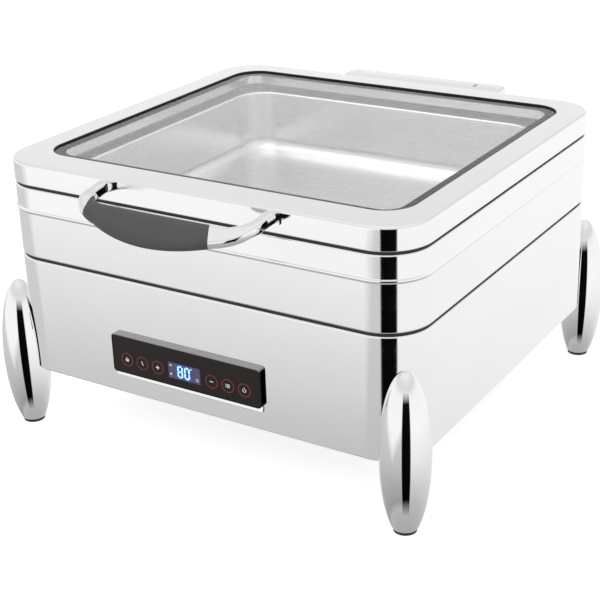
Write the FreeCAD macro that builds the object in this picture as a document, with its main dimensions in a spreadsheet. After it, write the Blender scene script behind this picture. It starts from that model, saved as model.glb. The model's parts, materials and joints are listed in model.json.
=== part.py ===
import FreeCAD, Part
import Sketcher
import math
import os
import re

from FreeCAD import Placement, Rotation, Vector

# An electric buffet server: a square heated base on four oval legs, a water bath and a
# food pan in its upper shell, and a glazed lid on a rear hinge.
# The origin is on the ground under the middle of the whole object; the front is -Y.

doc = FreeCAD.newDocument("buffet_server")

# driving sizes, in millimetres
sizes = {
    # overall shells
    "body_width": 420, "body_depth": 400, "corner_radius": 40, "sheet": 1.5,
    "ground_gap": 60.5, "base_height": 112.5, "seam_gap": 2.5, "upper_height": 66.5,
    "lid_gap": 2.5, "lid_height": 20.5, "flange_wide": 30, "flange_narrow": 12,
    "seam_inset": 1.8, "rib_height": 4, "rib_out": 0.9, "rib_drop": 22,
    "edge_round": 0.9, "lid_round": 2.2,
    # lid window, glass and its seal
    "window_width": 369, "window_depth": 341, "window_radius": 28, "window_shift": 5,
    "gasket": 0.7, "gasket_under": 5, "glass_thick": 5, "glass_recess": 1.9,
    "retainer_inset": 11, "retainer_outset": 13, "retainer_lip": 7,
    "seal_wide": 6, "seal_gap": 0.4,
    # pans
    "pan_width": 330, "pan_length": 302, "pan_radius": 30, "pan_depth": 62, "pan_sheet": 1,
    "pan_flange": 12, "pan_round": 3, "bath_gap": 3.5, "bath_extra": 22, "pan_clear": 1,
    # legs and feet
    "leg_inset": 6.2, "leg_radius": 21.8, "leg_half": 77, "leg_rise": 9, "leg_fit": 0.15,
    "vent_left": 140, "vent_pitch": 14, "vent_wide": 5, "vent_long": 90,
    "foot_thick": 2.5, "foot_radius": 10, "leg_bolt_in": 17.5,
    # control panel
    "panel_width": 159, "panel_height": 37.5, "panel_out": 5, "panel_rise": 41.7,
    "panel_x": -7.5, "panel_radius": 3.5, "panel_border": 1.2, "panel_glass_thick": 3,
    "panel_lip": 5.5, "panel_lip_out": 1.4,
    "panel_step": 0.4, "panel_wall": 5, "aperture_inset": 4, "key_radius": 6.5, "key_thick": 1,
    "key_first": 29, "key_pitch": 17, "key_drop": 4.3, "display_width": 34, "display_height": 15,
    "display_drop": 3, "display_thick": 4, "board_thick": 1.6,
    "tray_depth": 16, "tray_wall": 2,
    # heater
    "heater_width": 220, "heater_depth": 200, "heater_thick": 8, "element_ring": 75,
    "element_radius": 4, "shield_drop": 26, "shield_margin": 20,
    # supply
    "inlet_x": 120, "inlet_rise": 34, "inlet_width": 27, "inlet_height": 20,
    "inlet_depth": 22, "inlet_flange": 50, "inlet_flange_thick": 2.5, "inlet_wall": 2,
    "power_x": 30, "power_y": 60, "power_width": 110, "power_length": 70,
    "standoff": 8, "lead_radius": 1.8,
    # hinge
    "axis_back": 14, "axis_drop": 13, "pin_radius": 3, "pin_clear": 0.08, "bush_wall": 1.5,
    "barrel_radius": 7.5, "cover_width": 182, "cover_x": 11, "cover_rise": 0.5,
    "cover_wall": 2.5, "cover_round": 9, "cover_below": 9, "cover_screw_x": 62,
    "damper_half": 24, "lug_wide": 12, "lug_depth": 12, "ear_wide": 8, "side_play": 0.5,
    "bracket_thick": 3, "bracket_half": 66, "bracket_height": 40,
    # handle
    "handle_half": 91, "handle_x": 1.5, "stem_wide": 12, "finger_gap": 31, "handle_reach": 60,
    "handle_thick": 11, "handle_drop": 16, "handle_below_top": 7, "grip_left": 74,
    "grip_right": 50, "grip_wall": 2, "plate_thick": 1.6, "plate_height": 12,
    # fasteners
    "screw_radius": 2, "screw_head": 4, "screw_head_thick": 2.2, "screw_clear": 0.2,
    "bolt_radius": 3, "bolt_head": 5.5, "bolt_head_thick": 4, "bolt_bite": 14,
}

# places that follow from the driving sizes
derived = {
    "body_y": "(handle_reach - axis_back * 2) / 2",
    "wall_front": "body_y - body_depth / 2",
    "wall_back": "body_y + body_depth / 2",
    "base_top": "ground_gap + base_height",
    "upper_bottom": "base_top + seam_gap",
    "upper_top": "upper_bottom + upper_height",
    "lid_bottom": "upper_top + lid_gap",
    "lid_top": "lid_bottom + lid_height",
    "pan_y": "body_y + window_shift",
    "glass_top": "lid_top - glass_recess",
    "glass_bottom": "glass_top - glass_thick",
    "rim_width": "pan_width + 2 * bath_gap + 2 * pan_sheet + 2 * pan_clear",
    "rim_length": "pan_length + 2 * bath_gap + 2 * pan_sheet + 2 * pan_clear",
    "rim_radius": "pan_radius + bath_gap + pan_sheet + pan_clear",
    "bath_bottom": "upper_top - pan_depth - bath_extra",
    "heater_bottom": "bath_bottom - heater_thick",
    "shield_z": "heater_bottom - shield_drop",
    "leg_x": "body_width / 2 - leg_inset",
    "leg_y": "body_depth / 2 - leg_inset",
    "leg_z": "ground_gap + leg_rise",
    "panel_z": "ground_gap + panel_rise",
    "panel_face": "wall_front - panel_out",
    "inlet_z": "ground_gap + inlet_rise",
    "axis_y": "wall_back + axis_back",
    "axis_z": "lid_top - axis_drop",
    "board_z": "ground_gap + sheet + standoff",
    "bolt_x": "body_width / 2 - leg_bolt_in",
    "bolt_y": "body_depth / 2 - leg_bolt_in",
    "stem_z": "lid_top - handle_below_top",
}

sheet = doc.addObject("Spreadsheet::Sheet", "dims")
for row, (name, number) in enumerate(sizes.items(), 1):
    sheet.set(f"A{row}", name)
    sheet.set(f"B{row}", str(number))
    sheet.setAlias(f"B{row}", name)
doc.recompute()


def formula(text):
    # write a size formula out in spreadsheet names
    def swap(found):
        word = found.group()
        if word in sizes:
            return "dims." + word
        if word in derived:
            return "(" + formula(derived[word]) + ")"
        return word
    return re.sub(r"[a-z][a-z0-9_]*", swap, str(text))


def bind(item, setting, text):
    item.setExpression(setting, formula(text))


def number(text):
    # the present value of a size formula, for shapes that are made from wires
    probe = doc.addObject("App::FeaturePython", "probe")
    probe.addProperty("App::PropertyFloat", "Answer")
    bind(probe, "Answer", text)
    doc.recompute([probe])
    answer = probe.Answer
    doc.removeObject(probe.Name)
    return answer


nodes = []


def node(item, label):
    item.Label = label
    nodes.append(item)
    return item


# plain solids and booleans
count = 0


def fresh(kind):
    global count
    count += 1
    return doc.addObject(kind, "p" + str(count))


def place(item, at):
    for letter, text in zip("xyz", at):
        bind(item, "Placement.Base." + letter, text)


def box(low, size):
    item = fresh("Part::Box")
    for setting, text in zip(("Length", "Width", "Height"), size):
        bind(item, setting, text)
    place(item, low)
    return item


turns = {
    "+z": Rotation(),
    "-z": Rotation(Vector(1, 0, 0), 180),
    "+x": Rotation(Vector(0, 1, 0), 90),
    "-x": Rotation(Vector(0, 1, 0), -90),
    "-y": Rotation(Vector(1, 0, 0), 90),
    "+y": Rotation(Vector(1, 0, 0), -90),
}


def rod(start, radius, length, way="+z"):
    item = fresh("Part::Cylinder")
    bind(item, "Radius", radius)
    bind(item, "Height", length)
    item.Placement = Placement(Vector(), turns[way])
    place(item, start)
    return item


def cut(base, *tools):
    item = fresh("Part::Cut")
    item.Base = base
    item.Tool = tools[0] if len(tools) == 1 else group(*tools)
    return item


def fuse(*items):
    item = fresh("Part::MultiFuse")
    item.Shapes = list(items)
    item.Refine = True
    return item


def common(one, two):
    item = fresh("Part::MultiCommon")
    item.Shapes = [one, two]
    return item


def group(*items):
    item = fresh("Part::Compound")
    item.Links = list(items)
    return item


def along(start, way, text):
    # the point that lies a formula's distance from start in one of the six directions
    moved = list(start)
    at = "xyz".index(way[1])
    moved[at] = f"{start[at]} {way[0]} ({text})"
    return tuple(moved)


def back(way):
    return ("-" if way[0] == "+" else "+") + way[1]


def screws(label, points, way, bite, radius="screw_radius", head="screw_head",
           thick="screw_head_thick"):
    # round-headed fasteners: each point is where the head bears, and way is into the work
    made = []
    for point in points:
        shank = rod(point, radius, bite, way)
        cap = rod(point, head, thick, back(way))
        made.append(fuse(shank, cap))
    return node(group(*made), label)


def bores(points, way, depth, radius="screw_radius + screw_clear", lead="1"):
    # clearance holes for the same points, started a little in front of the work
    return [rod(along(point, back(way), lead), radius, f"{depth} + {lead}", way)
            for point in points]


def corners(x, y, z, middle="body_y"):
    return [(f"{sx}({x})", f"{middle} {sy}({y})", z) for sx in ("+", "-") for sy in ("-", "+")]


# bodies with sketches
def body(label=None):
    item = doc.addObject("PartDesign::Body", label or "work")
    if label:
        nodes.append(item)
        item.Label = label
    return item


def sketch(owner, plane, offset):
    # plane XY faces +Z, XZ faces -Y and YZ faces +X; offset is measured that way
    drawn = owner.newObject("Sketcher::SketchObject", "outline")
    base = [face for face in owner.Origin.OriginFeatures if face.Role == plane + "_Plane"][0]
    drawn.AttachmentSupport = [(base, "")]
    drawn.MapMode = "FlatFace"
    bind(drawn, "AttachmentOffset.Base.z", offset)
    return drawn


def hold(drawn, kind, *rest):
    drawn.addConstraint(Sketcher.Constraint(kind, *rest[:-2], rest[-1]))
    bind(drawn, f"Constraints[{drawn.ConstraintCount - 1}]", rest[-2])


def rounded(drawn, width, depth, radius, x="0", y="0"):
    # a rectangle with four round corners, about (x, y)
    a, b, c = 50.0, 40.0, 10.0
    ends = [((-a + c, -b), (a - c, -b)), ((a, -b + c), (a, b - c)),
            ((a - c, b), (-a + c, b)), ((-a, b - c), (-a, -b + c))]
    lines = drawn.addGeometry(
        [Part.LineSegment(Vector(*p, 0), Vector(*q, 0)) for p, q in ends], False)
    turnsAt = [(a - c, -b + c, -90), (a - c, b - c, 0), (-a + c, b - c, 90), (-a + c, -b + c, 180)]
    arcs = drawn.addGeometry(
        [Part.ArcOfCircle(Part.Circle(Vector(u, v, 0), Vector(0, 0, 1), c),
                          math.radians(t), math.radians(t + 90)) for u, v, t in turnsAt], False)
    for i in range(4):
        drawn.addConstraint(Sketcher.Constraint("Tangent", lines[i], 2, arcs[i], 1))
        drawn.addConstraint(Sketcher.Constraint("Tangent", arcs[i], 2, lines[(i + 1) % 4], 1))
    for i in range(4):
        drawn.addConstraint(Sketcher.Constraint(("Horizontal", "Vertical")[i % 2], lines[i]))
    for i in range(1, 4):
        drawn.addConstraint(Sketcher.Constraint("Equal", arcs[0], arcs[i]))
    hold(drawn, "Radius", arcs[0], radius, c)
    hold(drawn, "DistanceX", lines[3], 1, lines[1], 1, width, 2 * a)
    hold(drawn, "DistanceY", lines[0], 1, lines[2], 1, depth, 2 * b)
    hold(drawn, "DistanceX", -1, 1, lines[1], 1, f"({x}) + ({width}) / 2", a)
    hold(drawn, "DistanceY", -1, 1, lines[2], 1, f"({y}) + ({depth}) / 2", b)
    return drawn


def polygon(drawn, points):
    # a closed outline whose every corner is held from the origin
    total = len(points)
    ring = [Vector(30 * math.cos(2 * math.pi * i / total), 30 * math.sin(2 * math.pi * i / total), 0)
            for i in range(total)]
    lines = drawn.addGeometry(
        [Part.LineSegment(ring[i], ring[(i + 1) % total]) for i in range(total)], False)
    for i in range(total):
        drawn.addConstraint(Sketcher.Constraint("Coincident", lines[i], 2, lines[(i + 1) % total], 1))
    for i, (x, y) in enumerate(points):
        hold(drawn, "DistanceX", -1, 1, lines[i], 1, x, ring[i].x)
        hold(drawn, "DistanceY", -1, 1, lines[i], 1, y, ring[i].y)
    return drawn


def pad(owner, drawn, length):
    grown = owner.newObject("PartDesign::Pad", "pad")
    grown.Profile = drawn
    bind(grown, "Length", length)
    return grown


def pocket(owner, drawn, length):
    # cuts from the sketch the way that it faces
    taken = owner.newObject("PartDesign::Pocket", "pocket")
    taken.Profile = drawn
    taken.Reversed = True
    bind(taken, "Length", length)
    return taken


def roundEdges(owner, radius, *levels):
    # rounds the outer edges that lie flat at the given heights
    doc.recompute()
    outer = owner.Shape.BoundBox
    heights = [number(level) for level in levels]
    picked = []
    for i, edge in enumerate(owner.Shape.Edges, 1):
        near = edge.BoundBox
        level = near.ZLength < 0.01 and any(abs(near.ZMin - z) < 0.01 for z in heights)
        outside = min(near.XMin - outer.XMin, outer.XMax - near.XMax,
                      near.YMin - outer.YMin, outer.YMax - near.YMax) < 0.01
        if level and outside:
            picked.append(f"Edge{i}")
    rough = owner.Tip
    soft = owner.newObject("PartDesign::Fillet", "soften")
    soft.Base = (rough, picked)
    bind(soft, "Radius", radius)
    doc.recompute()
    return soft


def plan(owner, level, width, depth, radius, y="body_y"):
    return rounded(sketch(owner, "XY", level), width, depth, radius, "0", y)


def bodyPlan(owner, level, inset):
    return plan(owner, level, f"body_width - 2 * ({inset})", f"body_depth - 2 * ({inset})",
                f"corner_radius - ({inset})")


# shells
boltPoints = corners("bolt_x", "bolt_y", "ground_gap + sheet")
plateInset = "flange_wide - 10"
platePoints = corners("body_width / 2 - flange_wide + 5", "body_depth / 4", "ground_gap - sheet")
inletPoints = [(f"inlet_x {side} 20", "wall_back + inlet_flange_thick", "inlet_z") for side in "+-"]
bracketPoints = [(f"{side} bracket_half * {share}", "wall_back + bracket_thick",
                  "axis_z - axis_back - bracket_height + 8") for side in "+-" for share in ("0.4", "0.85")]


def baseHousing():
    work = body()
    pad(work, bodyPlan(work, "ground_gap", "0"), "base_height")
    roundEdges(work, "edge_round", "ground_gap", "base_top")
    pocket(work, bodyPlan(work, "ground_gap + sheet", "sheet"), "base_height - 2 * sheet")
    pocket(work, bodyPlan(work, "ground_gap", "flange_wide"), "sheet")
    pocket(work, bodyPlan(work, "base_top - sheet", "flange_narrow"), "sheet")
    hole = "2 * aperture_inset"
    panelHole = box(("panel_x - (panel_width / 2 - aperture_inset)", "wall_front - 1",
                     "panel_z - panel_height / 2 + aperture_inset"),
                    (f"panel_width - {hole}", "sheet + 2", f"panel_height - {hole}"))
    inletHole = box(("inlet_x - inlet_width / 2", "wall_back - sheet - 1", "inlet_z - inlet_height / 2"),
                    ("inlet_width", "sheet + 2", "inlet_height"))
    holes = bores(boltPoints, "-z", "sheet + 1", "bolt_radius + screw_clear")
    holes += bores(inletPoints, "-y", "inlet_flange_thick + sheet + 1")
    holes += bores(platePoints, "+z", "2 * sheet + 1")
    node(cut(work, panelHole, inletHole, *holes), "base_housing")


def bottomPlate():
    work = body()
    pad(work, bodyPlan(work, "ground_gap - sheet", plateInset), "sheet")
    slots = [box((f"{i} * vent_pitch - vent_left", "body_y + 40", "ground_gap - sheet - 1"),
                 ("vent_wide", "vent_long", "sheet + 2")) for i in range(8)]
    relief = [rod((x, y, "ground_gap - sheet - 1"), "leg_radius + 1", "sheet + 2")
              for x, y, z in corners("leg_x", "leg_y", "0")]
    holes = bores(platePoints, "+z", "sheet + 1")
    node(cut(work, *slots, *relief, *holes), "bottom_plate")
    screws("bottom_screws", platePoints, "+z", "sheet * 2 + 4")


def ring(label, low, height, outer, inner):
    # a closed seal that follows the body's outline between two insets
    work = body(label)
    pad(work, bodyPlan(work, low, outer), height)
    pocket(work, bodyPlan(work, low, inner), height)


def upperShell():
    work = body()
    pad(work, bodyPlan(work, "upper_bottom", "0"), "upper_height")
    roundEdges(work, "edge_round", "upper_bottom", "upper_top")
    # the bead is stepped: each step stands further out over a lower height
    for share in (1, 2, 3):
        high = f"rib_height * {(1, 0.8, 0.45)[share - 1]}"
        pad(work, bodyPlan(work, f"upper_top - rib_drop - {high} / 2", f"-rib_out * {share} / 3"), high)
    pocket(work, bodyPlan(work, "upper_bottom + sheet", "sheet"), "upper_height - 2 * sheet")
    pocket(work, bodyPlan(work, "upper_bottom", "flange_narrow"), "sheet")
    pocket(work, plan(work, "upper_top - sheet", "rim_width", "rim_length", "rim_radius", "pan_y"), "sheet")
    # the bead stops at the hinge bracket, which bears flat on the wall
    relief = box(("-bracket_half - 1", "wall_back", "upper_top - rib_drop - rib_height"),
                 ("2 * bracket_half + 2", "rib_out + 1", "2 * rib_height"))
    node(cut(work, relief, *bores(bracketPoints, "-y", "bracket_thick + sheet + 1")), "upper_shell")


def pressedPan(label, low, flangeLow, width, length, radius, flange):
    # a pan pressed from sheet: a round-cornered tub with a flat flange at its top
    work = body(label)
    pad(work, plan(work, low, width, length, radius, "pan_y"), f"{flangeLow} - ({low})")
    roundEdges(work, "pan_round", low)
    pad(work, plan(work, flangeLow, f"{width} + 2 * ({flange})", f"{length} + 2 * ({flange})",
                   f"{radius} + ({flange})", "pan_y"), "pan_sheet")
    pocket(work, plan(work, f"{low} + pan_sheet", f"{width} - 2 * pan_sheet", f"{length} - 2 * pan_sheet",
                      f"{radius} - pan_sheet", "pan_y"), f"{flangeLow} - ({low})")


baseHousing()
bottomPlate()
ring("seam_gasket", "base_top", "seam_gap", "seam_inset", "flange_narrow - 2")
upperShell()
pressedPan("water_pan", "bath_bottom", "upper_top", "rim_width - 2 * pan_clear",
           "rim_length - 2 * pan_clear", "rim_radius - pan_clear", "pan_flange - bath_gap")
pressedPan("food_pan", "upper_top + pan_sheet - pan_depth", "upper_top + pan_sheet",
           "pan_width", "pan_length", "pan_radius", "pan_flange")
ring("lid_seal", "upper_top", "lid_gap - seal_gap", "seam_inset", "seam_inset + seal_wide")


# legs
def leg(label, sx, sy):
    x, y = f"{sx}(leg_x)", f"body_y {sy}(leg_y)"
    egg = fresh("Part::Ellipsoid")
    bind(egg, "Radius1", "leg_half")
    bind(egg, "Radius2", "leg_radius")
    bind(egg, "Radius3", "leg_radius")
    place(egg, (x, y, "leg_z"))
    below = box((f"{x} - leg_radius - 1", f"{y} - leg_radius - 1", "-leg_half"),
                ("2 * leg_radius + 2", "2 * leg_radius + 2", "leg_half + foot_thick"))
    notch = body()
    pad(notch, bodyPlan(notch, "ground_gap", "-leg_fit"), "base_height + upper_height")
    bolt = rod((f"{sx}(bolt_x)", f"body_y {sy}(bolt_y)", "ground_gap - bolt_bite - 1"),
               "bolt_radius", "bolt_bite + 2")
    node(cut(egg, below, notch, bolt), "leg_" + label)
    node(rod((x, y, "0"), "foot_radius", "foot_thick"), "foot_pad_" + label)


for sideName, sx in (("left", "-"), ("right", "+")):
    for endName, sy in (("front", "-"), ("rear", "+")):
        leg(endName + "_" + sideName, sx, sy)
screws("leg_bolts", boltPoints, "-z", "bolt_bite + sheet", "bolt_radius", "bolt_head", "bolt_head_thick")


# heater
def heater():
    half = ("heater_width / 2", "heater_depth / 2")
    plate = body("heating_plate")
    pad(plate, plan(plate, "heater_bottom", "heater_width", "heater_depth", "12", "pan_y"), "heater_thick")
    wire = fresh("Part::Torus")
    bind(wire, "Radius1", "element_ring")
    bind(wire, "Radius2", "element_radius")
    wire.Angle3 = 320
    wire.Placement = Placement(Vector(), Rotation(Vector(0, 0, 1), 110))
    place(wire, ("0", "pan_y", "heater_bottom - element_radius"))
    ends = [rod((f"{s} element_ring * cos(70)", "pan_y + element_ring * sin(70)",
                 "heater_bottom - element_radius - 12"), "element_radius * 0.9", "12") for s in "+-"]
    node(fuse(wire, *ends), "heating_element")
    clampAt = [("element_ring", "pan_y"), ("-element_ring", "pan_y"), ("0", "pan_y - element_ring")]
    clamps = []
    for i, (x, y) in enumerate(clampAt):
        across = ("26", "10") if i < 2 else ("10", "26")
        strap = box((f"{x} - {across[0]} / 2", f"{y} - {across[1]} / 2",
                     "heater_bottom - 2 * element_radius - 1.5"),
                    (across[0], across[1], "2 * element_radius + 1.5"))
        gapIn = box((f"{x} - {across[0]} / 2 {'+ 8' if i < 2 else '- 1'}",
                     f"{y} - {across[1]} / 2 {'- 1' if i < 2 else '+ 8'}",
                     "heater_bottom - 2 * element_radius - 0.2"),
                    ("10" if i < 2 else "12", "12" if i < 2 else "10", "2 * element_radius + 1"))
        clamps.append(cut(strap, gapIn))
    node(group(*clamps), "element_clamps")
    shield = body()
    pad(shield, plan(shield, "shield_z", "heater_width + 2 * shield_margin",
                     "heater_depth + 2 * shield_margin", "15", "pan_y"), "pan_sheet")
    slots = [box((f"{s} element_ring * cos(70) - 8", "pan_y + element_ring * sin(70) - 8", "shield_z - 1"),
                 ("16", "16", "pan_sheet + 2")) for s in "+-"]
    posts = [(f"{a} {half[0]} - ({a} 12)", f"pan_y {b} ({half[1]} - 12)") for a in "+-" for b in "+-"]
    stays = [rod((x, y, "shield_z + pan_sheet"), "3", "shield_drop - pan_sheet") for x, y in posts]
    node(fuse(cut(shield, *slots), *stays), "heat_shield")
    node(fuse(rod(("0", "pan_y", "heater_bottom - 9"), "9", "9"),
              box(("-12", "pan_y - 4", "heater_bottom - 2"), ("24", "8", "2"))), "thermal_cutout")
    node(rod(("30", "pan_y - 30", "heater_bottom - 14"), "3", "14"), "temperature_probe")


heater()


# control panel
def controlPanel():
    work = body()
    front = rounded(sketch(work, "XZ", "-wall_front"), "panel_width", "panel_height",
                    "panel_radius", "panel_x", "panel_z")
    pad(work, front, "panel_out")
    lip = rounded(sketch(work, "XZ", "-wall_front"), "panel_width", "panel_height + panel_lip",
                  "panel_radius", "panel_x", "panel_z - panel_lip / 2")
    pad(work, lip, "panel_lip_out")
    seat = rounded(sketch(work, "XZ", "-(panel_face + panel_step + panel_glass_thick)"),
                   "panel_width - 2 * panel_border", "panel_height - 2 * panel_border",
                   "panel_radius - 1", "panel_x", "panel_z")
    pocket(work, seat, "panel_step + panel_glass_thick")
    well = rounded(sketch(work, "XZ", "-wall_front"), "panel_width - 2 * panel_wall",
                   "panel_height - 2 * panel_wall", "1", "panel_x", "panel_z")
    pocket(work, well, "panel_out")
    node(work, "panel_bezel")
    glass = body("panel_glass")
    pane = rounded(sketch(glass, "XZ", "-(panel_face + panel_step + panel_glass_thick)"),
                   "panel_width - 2 * panel_border - 0.2", "panel_height - 2 * panel_border - 0.2",
                   "panel_radius - 1.1", "panel_x", "panel_z")
    pad(glass, pane, "panel_glass_thick")
    behind = "panel_face + panel_step + panel_glass_thick"
    node(box(("panel_x - display_width / 2", behind, "panel_z - display_drop - display_height / 2"),
             ("display_width", "display_thick", "display_height")), "display_module")
    keys = [rod((f"panel_x {side} (key_first + {i} * key_pitch)", behind, "panel_z - key_drop"),
                "key_radius", "key_thick", "+y") for side in "-+" for i in range(3)]
    node(group(*keys), "touch_keys")
    # the tray closes the back of the panel inside the housing
    tray = "panel_width - 2 * aperture_inset - 1"
    low = ("panel_x - (panel_width / 2 - aperture_inset - 0.5)", "wall_front",
           "panel_z - panel_height / 2 + aperture_inset + 0.5")
    high = "panel_height - 2 * aperture_inset - 1"
    shell = box(low, (tray, "tray_depth", high))
    inside = box(tuple(f"{a} + {b}" for a, b in zip(low, ("tray_wall", "-1", "tray_wall"))),
                 (f"{tray} - 2 * tray_wall", "tray_depth - tray_wall + 1", f"{high} - 2 * tray_wall"))
    exitSlot = box(("-14", "wall_front + tray_depth - tray_wall - 1", "panel_z - 3"),
                   ("28", "tray_wall + 2", "4"))
    node(cut(shell, inside, exitSlot), "panel_tray")
    node(box((f"{low[0]} + tray_wall", "wall_front + 4", f"{low[2]} + tray_wall"),
             (f"{tray} - 2 * tray_wall", "board_thick", f"{high} - 2 * tray_wall")), "control_board")


controlPanel()


# supply and power board
def powerSide():
    at = ("power_x", "power_y", "board_z")
    top = "board_z + board_thick"
    node(box(at, ("power_width", "power_length", "board_thick")), "power_board")
    posts = [rod((f"power_x + {x}", f"power_y + {y}", "ground_gap"), "3", "sheet + standoff")
             for x in ("6", "power_width - 6") for y in ("6", "power_length - 6")]
    node(group(*posts), "board_standoffs")
    node(box(("power_x + 14", "power_y + 8", top), ("19", "15.5", "15")), "relay")
    node(box(("power_x + 42", "power_y + 14", top), ("30", "26", "24")), "transformer")
    node(rod(("power_x + 88", "power_y + 16", top), "8", "20"), "capacitor")
    node(box(("power_x + 20", "power_y + 46", top), ("40", "14", "13")), "terminal_block")
    flange = box(("inlet_x - inlet_flange / 2", "wall_back", "inlet_z - inlet_height / 2 - 2"),
                 ("inlet_flange", "inlet_flange_thick", "inlet_height + 4"))
    barrel = box(("inlet_x - inlet_width / 2 + 0.3", "wall_back - inlet_depth",
                  "inlet_z - inlet_height / 2 + 0.3"),
                 ("inlet_width - 0.6", "inlet_depth + 1", "inlet_height - 0.6"))
    socket = box(("inlet_x - inlet_width / 2 + inlet_wall", "wall_back - inlet_depth + inlet_wall",
                  "inlet_z - inlet_height / 2 + inlet_wall"),
                 ("inlet_width - 2 * inlet_wall", "inlet_depth + inlet_flange_thick + 1",
                  "inlet_height - 2 * inlet_wall"))
    holes = bores(inletPoints, "-y", "inlet_flange_thick + 1")
    pinAt = [(f"inlet_x {x}", "wall_back - inlet_depth - 6", f"inlet_z {z}")
             for x, z in (("- 7", "+ 0"), ("+ 7", "+ 0"), ("+ 0", "+ 4"))]
    pinHoles = [box((f"{x} - 1.1", y, f"{z} - 2.1"), ("2.2", "inlet_wall + 8", "4.2")) for x, y, z in pinAt]
    node(cut(fuse(flange, barrel), socket, *holes, *pinHoles), "inlet_housing")
    node(group(*[box((f"{x} - 1", y, f"{z} - 2"), ("2", "inlet_depth + 2", "4")) for x, y, z in pinAt]),
         "inlet_pins")
    screws("inlet_screws", inletPoints, "-y", "inlet_flange_thick + sheet + 4", "screw_radius * 0.9",
           "screw_head * 0.85")


def tube(points, radius):
    # a lead of straight runs joined by arcs as large as the runs allow
    places = [Vector(*[number(part) for part in point]) for point in points]
    thick = number(radius)
    edges = []
    start = places[0]
    for i in range(1, len(places) - 1):
        before, here, after = places[i - 1:i + 2]
        inward = (here - before).normalize()
        outward = (after - here).normalize()
        turn = inward.getAngle(outward)
        reach = 0.45 * min((here - before).Length, (after - here).Length)
        first = here - inward * reach
        last = here + outward * reach
        bisect = (outward - inward).normalize()
        radiusHere = reach / math.tan(turn / 2)
        middle = here + bisect * (radiusHere / math.cos(turn / 2) - radiusHere)
        edges.append(Part.LineSegment(start, first).toShape())
        edges.append(Part.Arc(first, middle, last).toShape())
        start = last
    edges.append(Part.LineSegment(start, places[-1]).toShape())
    path = Part.Wire(edges)
    way = (places[1] - places[0]).normalize()
    profile = Part.Wire([Part.makeCircle(thick, places[0], way)])
    solid = path.makePipeShell([profile], True, False)
    return solid


def leads():
    at = "inlet_z"
    runs = []
    for i, (x, z) in enumerate((("- 7", "+ 0"), ("+ 7", "+ 0"))):
        runs.append([(f"inlet_x {x}", "wall_back - inlet_depth - 6", f"{at} {z}"),
                     (f"inlet_x {x}", "wall_back - inlet_depth - 22", f"{at} {z}"),
                     (f"power_x + {30 + 14 * i}", "power_y + 88", "board_z + 12"),
                     (f"power_x + {30 + 14 * i}", "power_y + 76", "board_z + board_thick + 7"),
                     (f"power_x + {30 + 14 * i}", "power_y + 60", "board_z + board_thick + 7")])
    supply = fresh("Part::Feature")
    supply.Shape = Part.Compound([tube(run, "lead_radius") for run in runs])
    node(supply, "supply_leads")
    runs = []
    for i, side in enumerate("-+"):
        end = f"{side} element_ring * cos(70)"
        runs.append([(f"power_x + {36 + 8 * i}", "power_y + 53", "board_z + board_thick + 13"),
                     (f"power_x + {36 + 8 * i}", "power_y + 53", "board_z + board_thick + 28"),
                     (end, "pan_y + element_ring * sin(70)", "shield_z - 14"),
                     (end, "pan_y + element_ring * sin(70)", "heater_bottom - element_radius - 12")])
    feed = fresh("Part::Feature")
    feed.Shape = Part.Compound([tube(run, "lead_radius") for run in runs])
    node(feed, "element_leads")
    ribbon = body("ribbon_cable")
    shape = sketch(ribbon, "YZ", "-10")
    y0, y1 = "wall_front + 4 + board_thick", "power_y - 20"
    z0, z1 = "panel_z - 1.5", "board_z + board_thick + 3"
    polygon(shape, [(y0, z0), (f"{y1}", z0), (f"{y1} + 1", f"{z0} + 1"), (y0, f"{z0} + 1")])
    pad(ribbon, shape, "20")
    drop = sketch(ribbon, "YZ", "-10")
    polygon(drop, [(f"{y1}", f"{z1}"), (f"{y1} + 1", f"{z1}"), (f"{y1} + 1", f"{z0} + 1"), (y1, f"{z0} + 1")])
    pad(ribbon, drop, "20")
    tail = sketch(ribbon, "YZ", "-10")
    polygon(tail, [(y1, f"{z1} - 1"), ("power_y + 6", f"{z1} - 1"), ("power_y + 6", z1), (y1, z1)])
    pad(ribbon, tail, "power_x + 24")


powerSide()
leads()


# hinge
def at(y, z):
    return f"axis_y + ({y})", f"axis_z + ({z})"


def barrel(x, wide, radius="barrel_radius"):
    return rod((x, "axis_y", "axis_z"), radius, wide, "+x")


lugStart = "damper_half + side_play"
earStart = f"{lugStart} + lug_wide + side_play"


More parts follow.
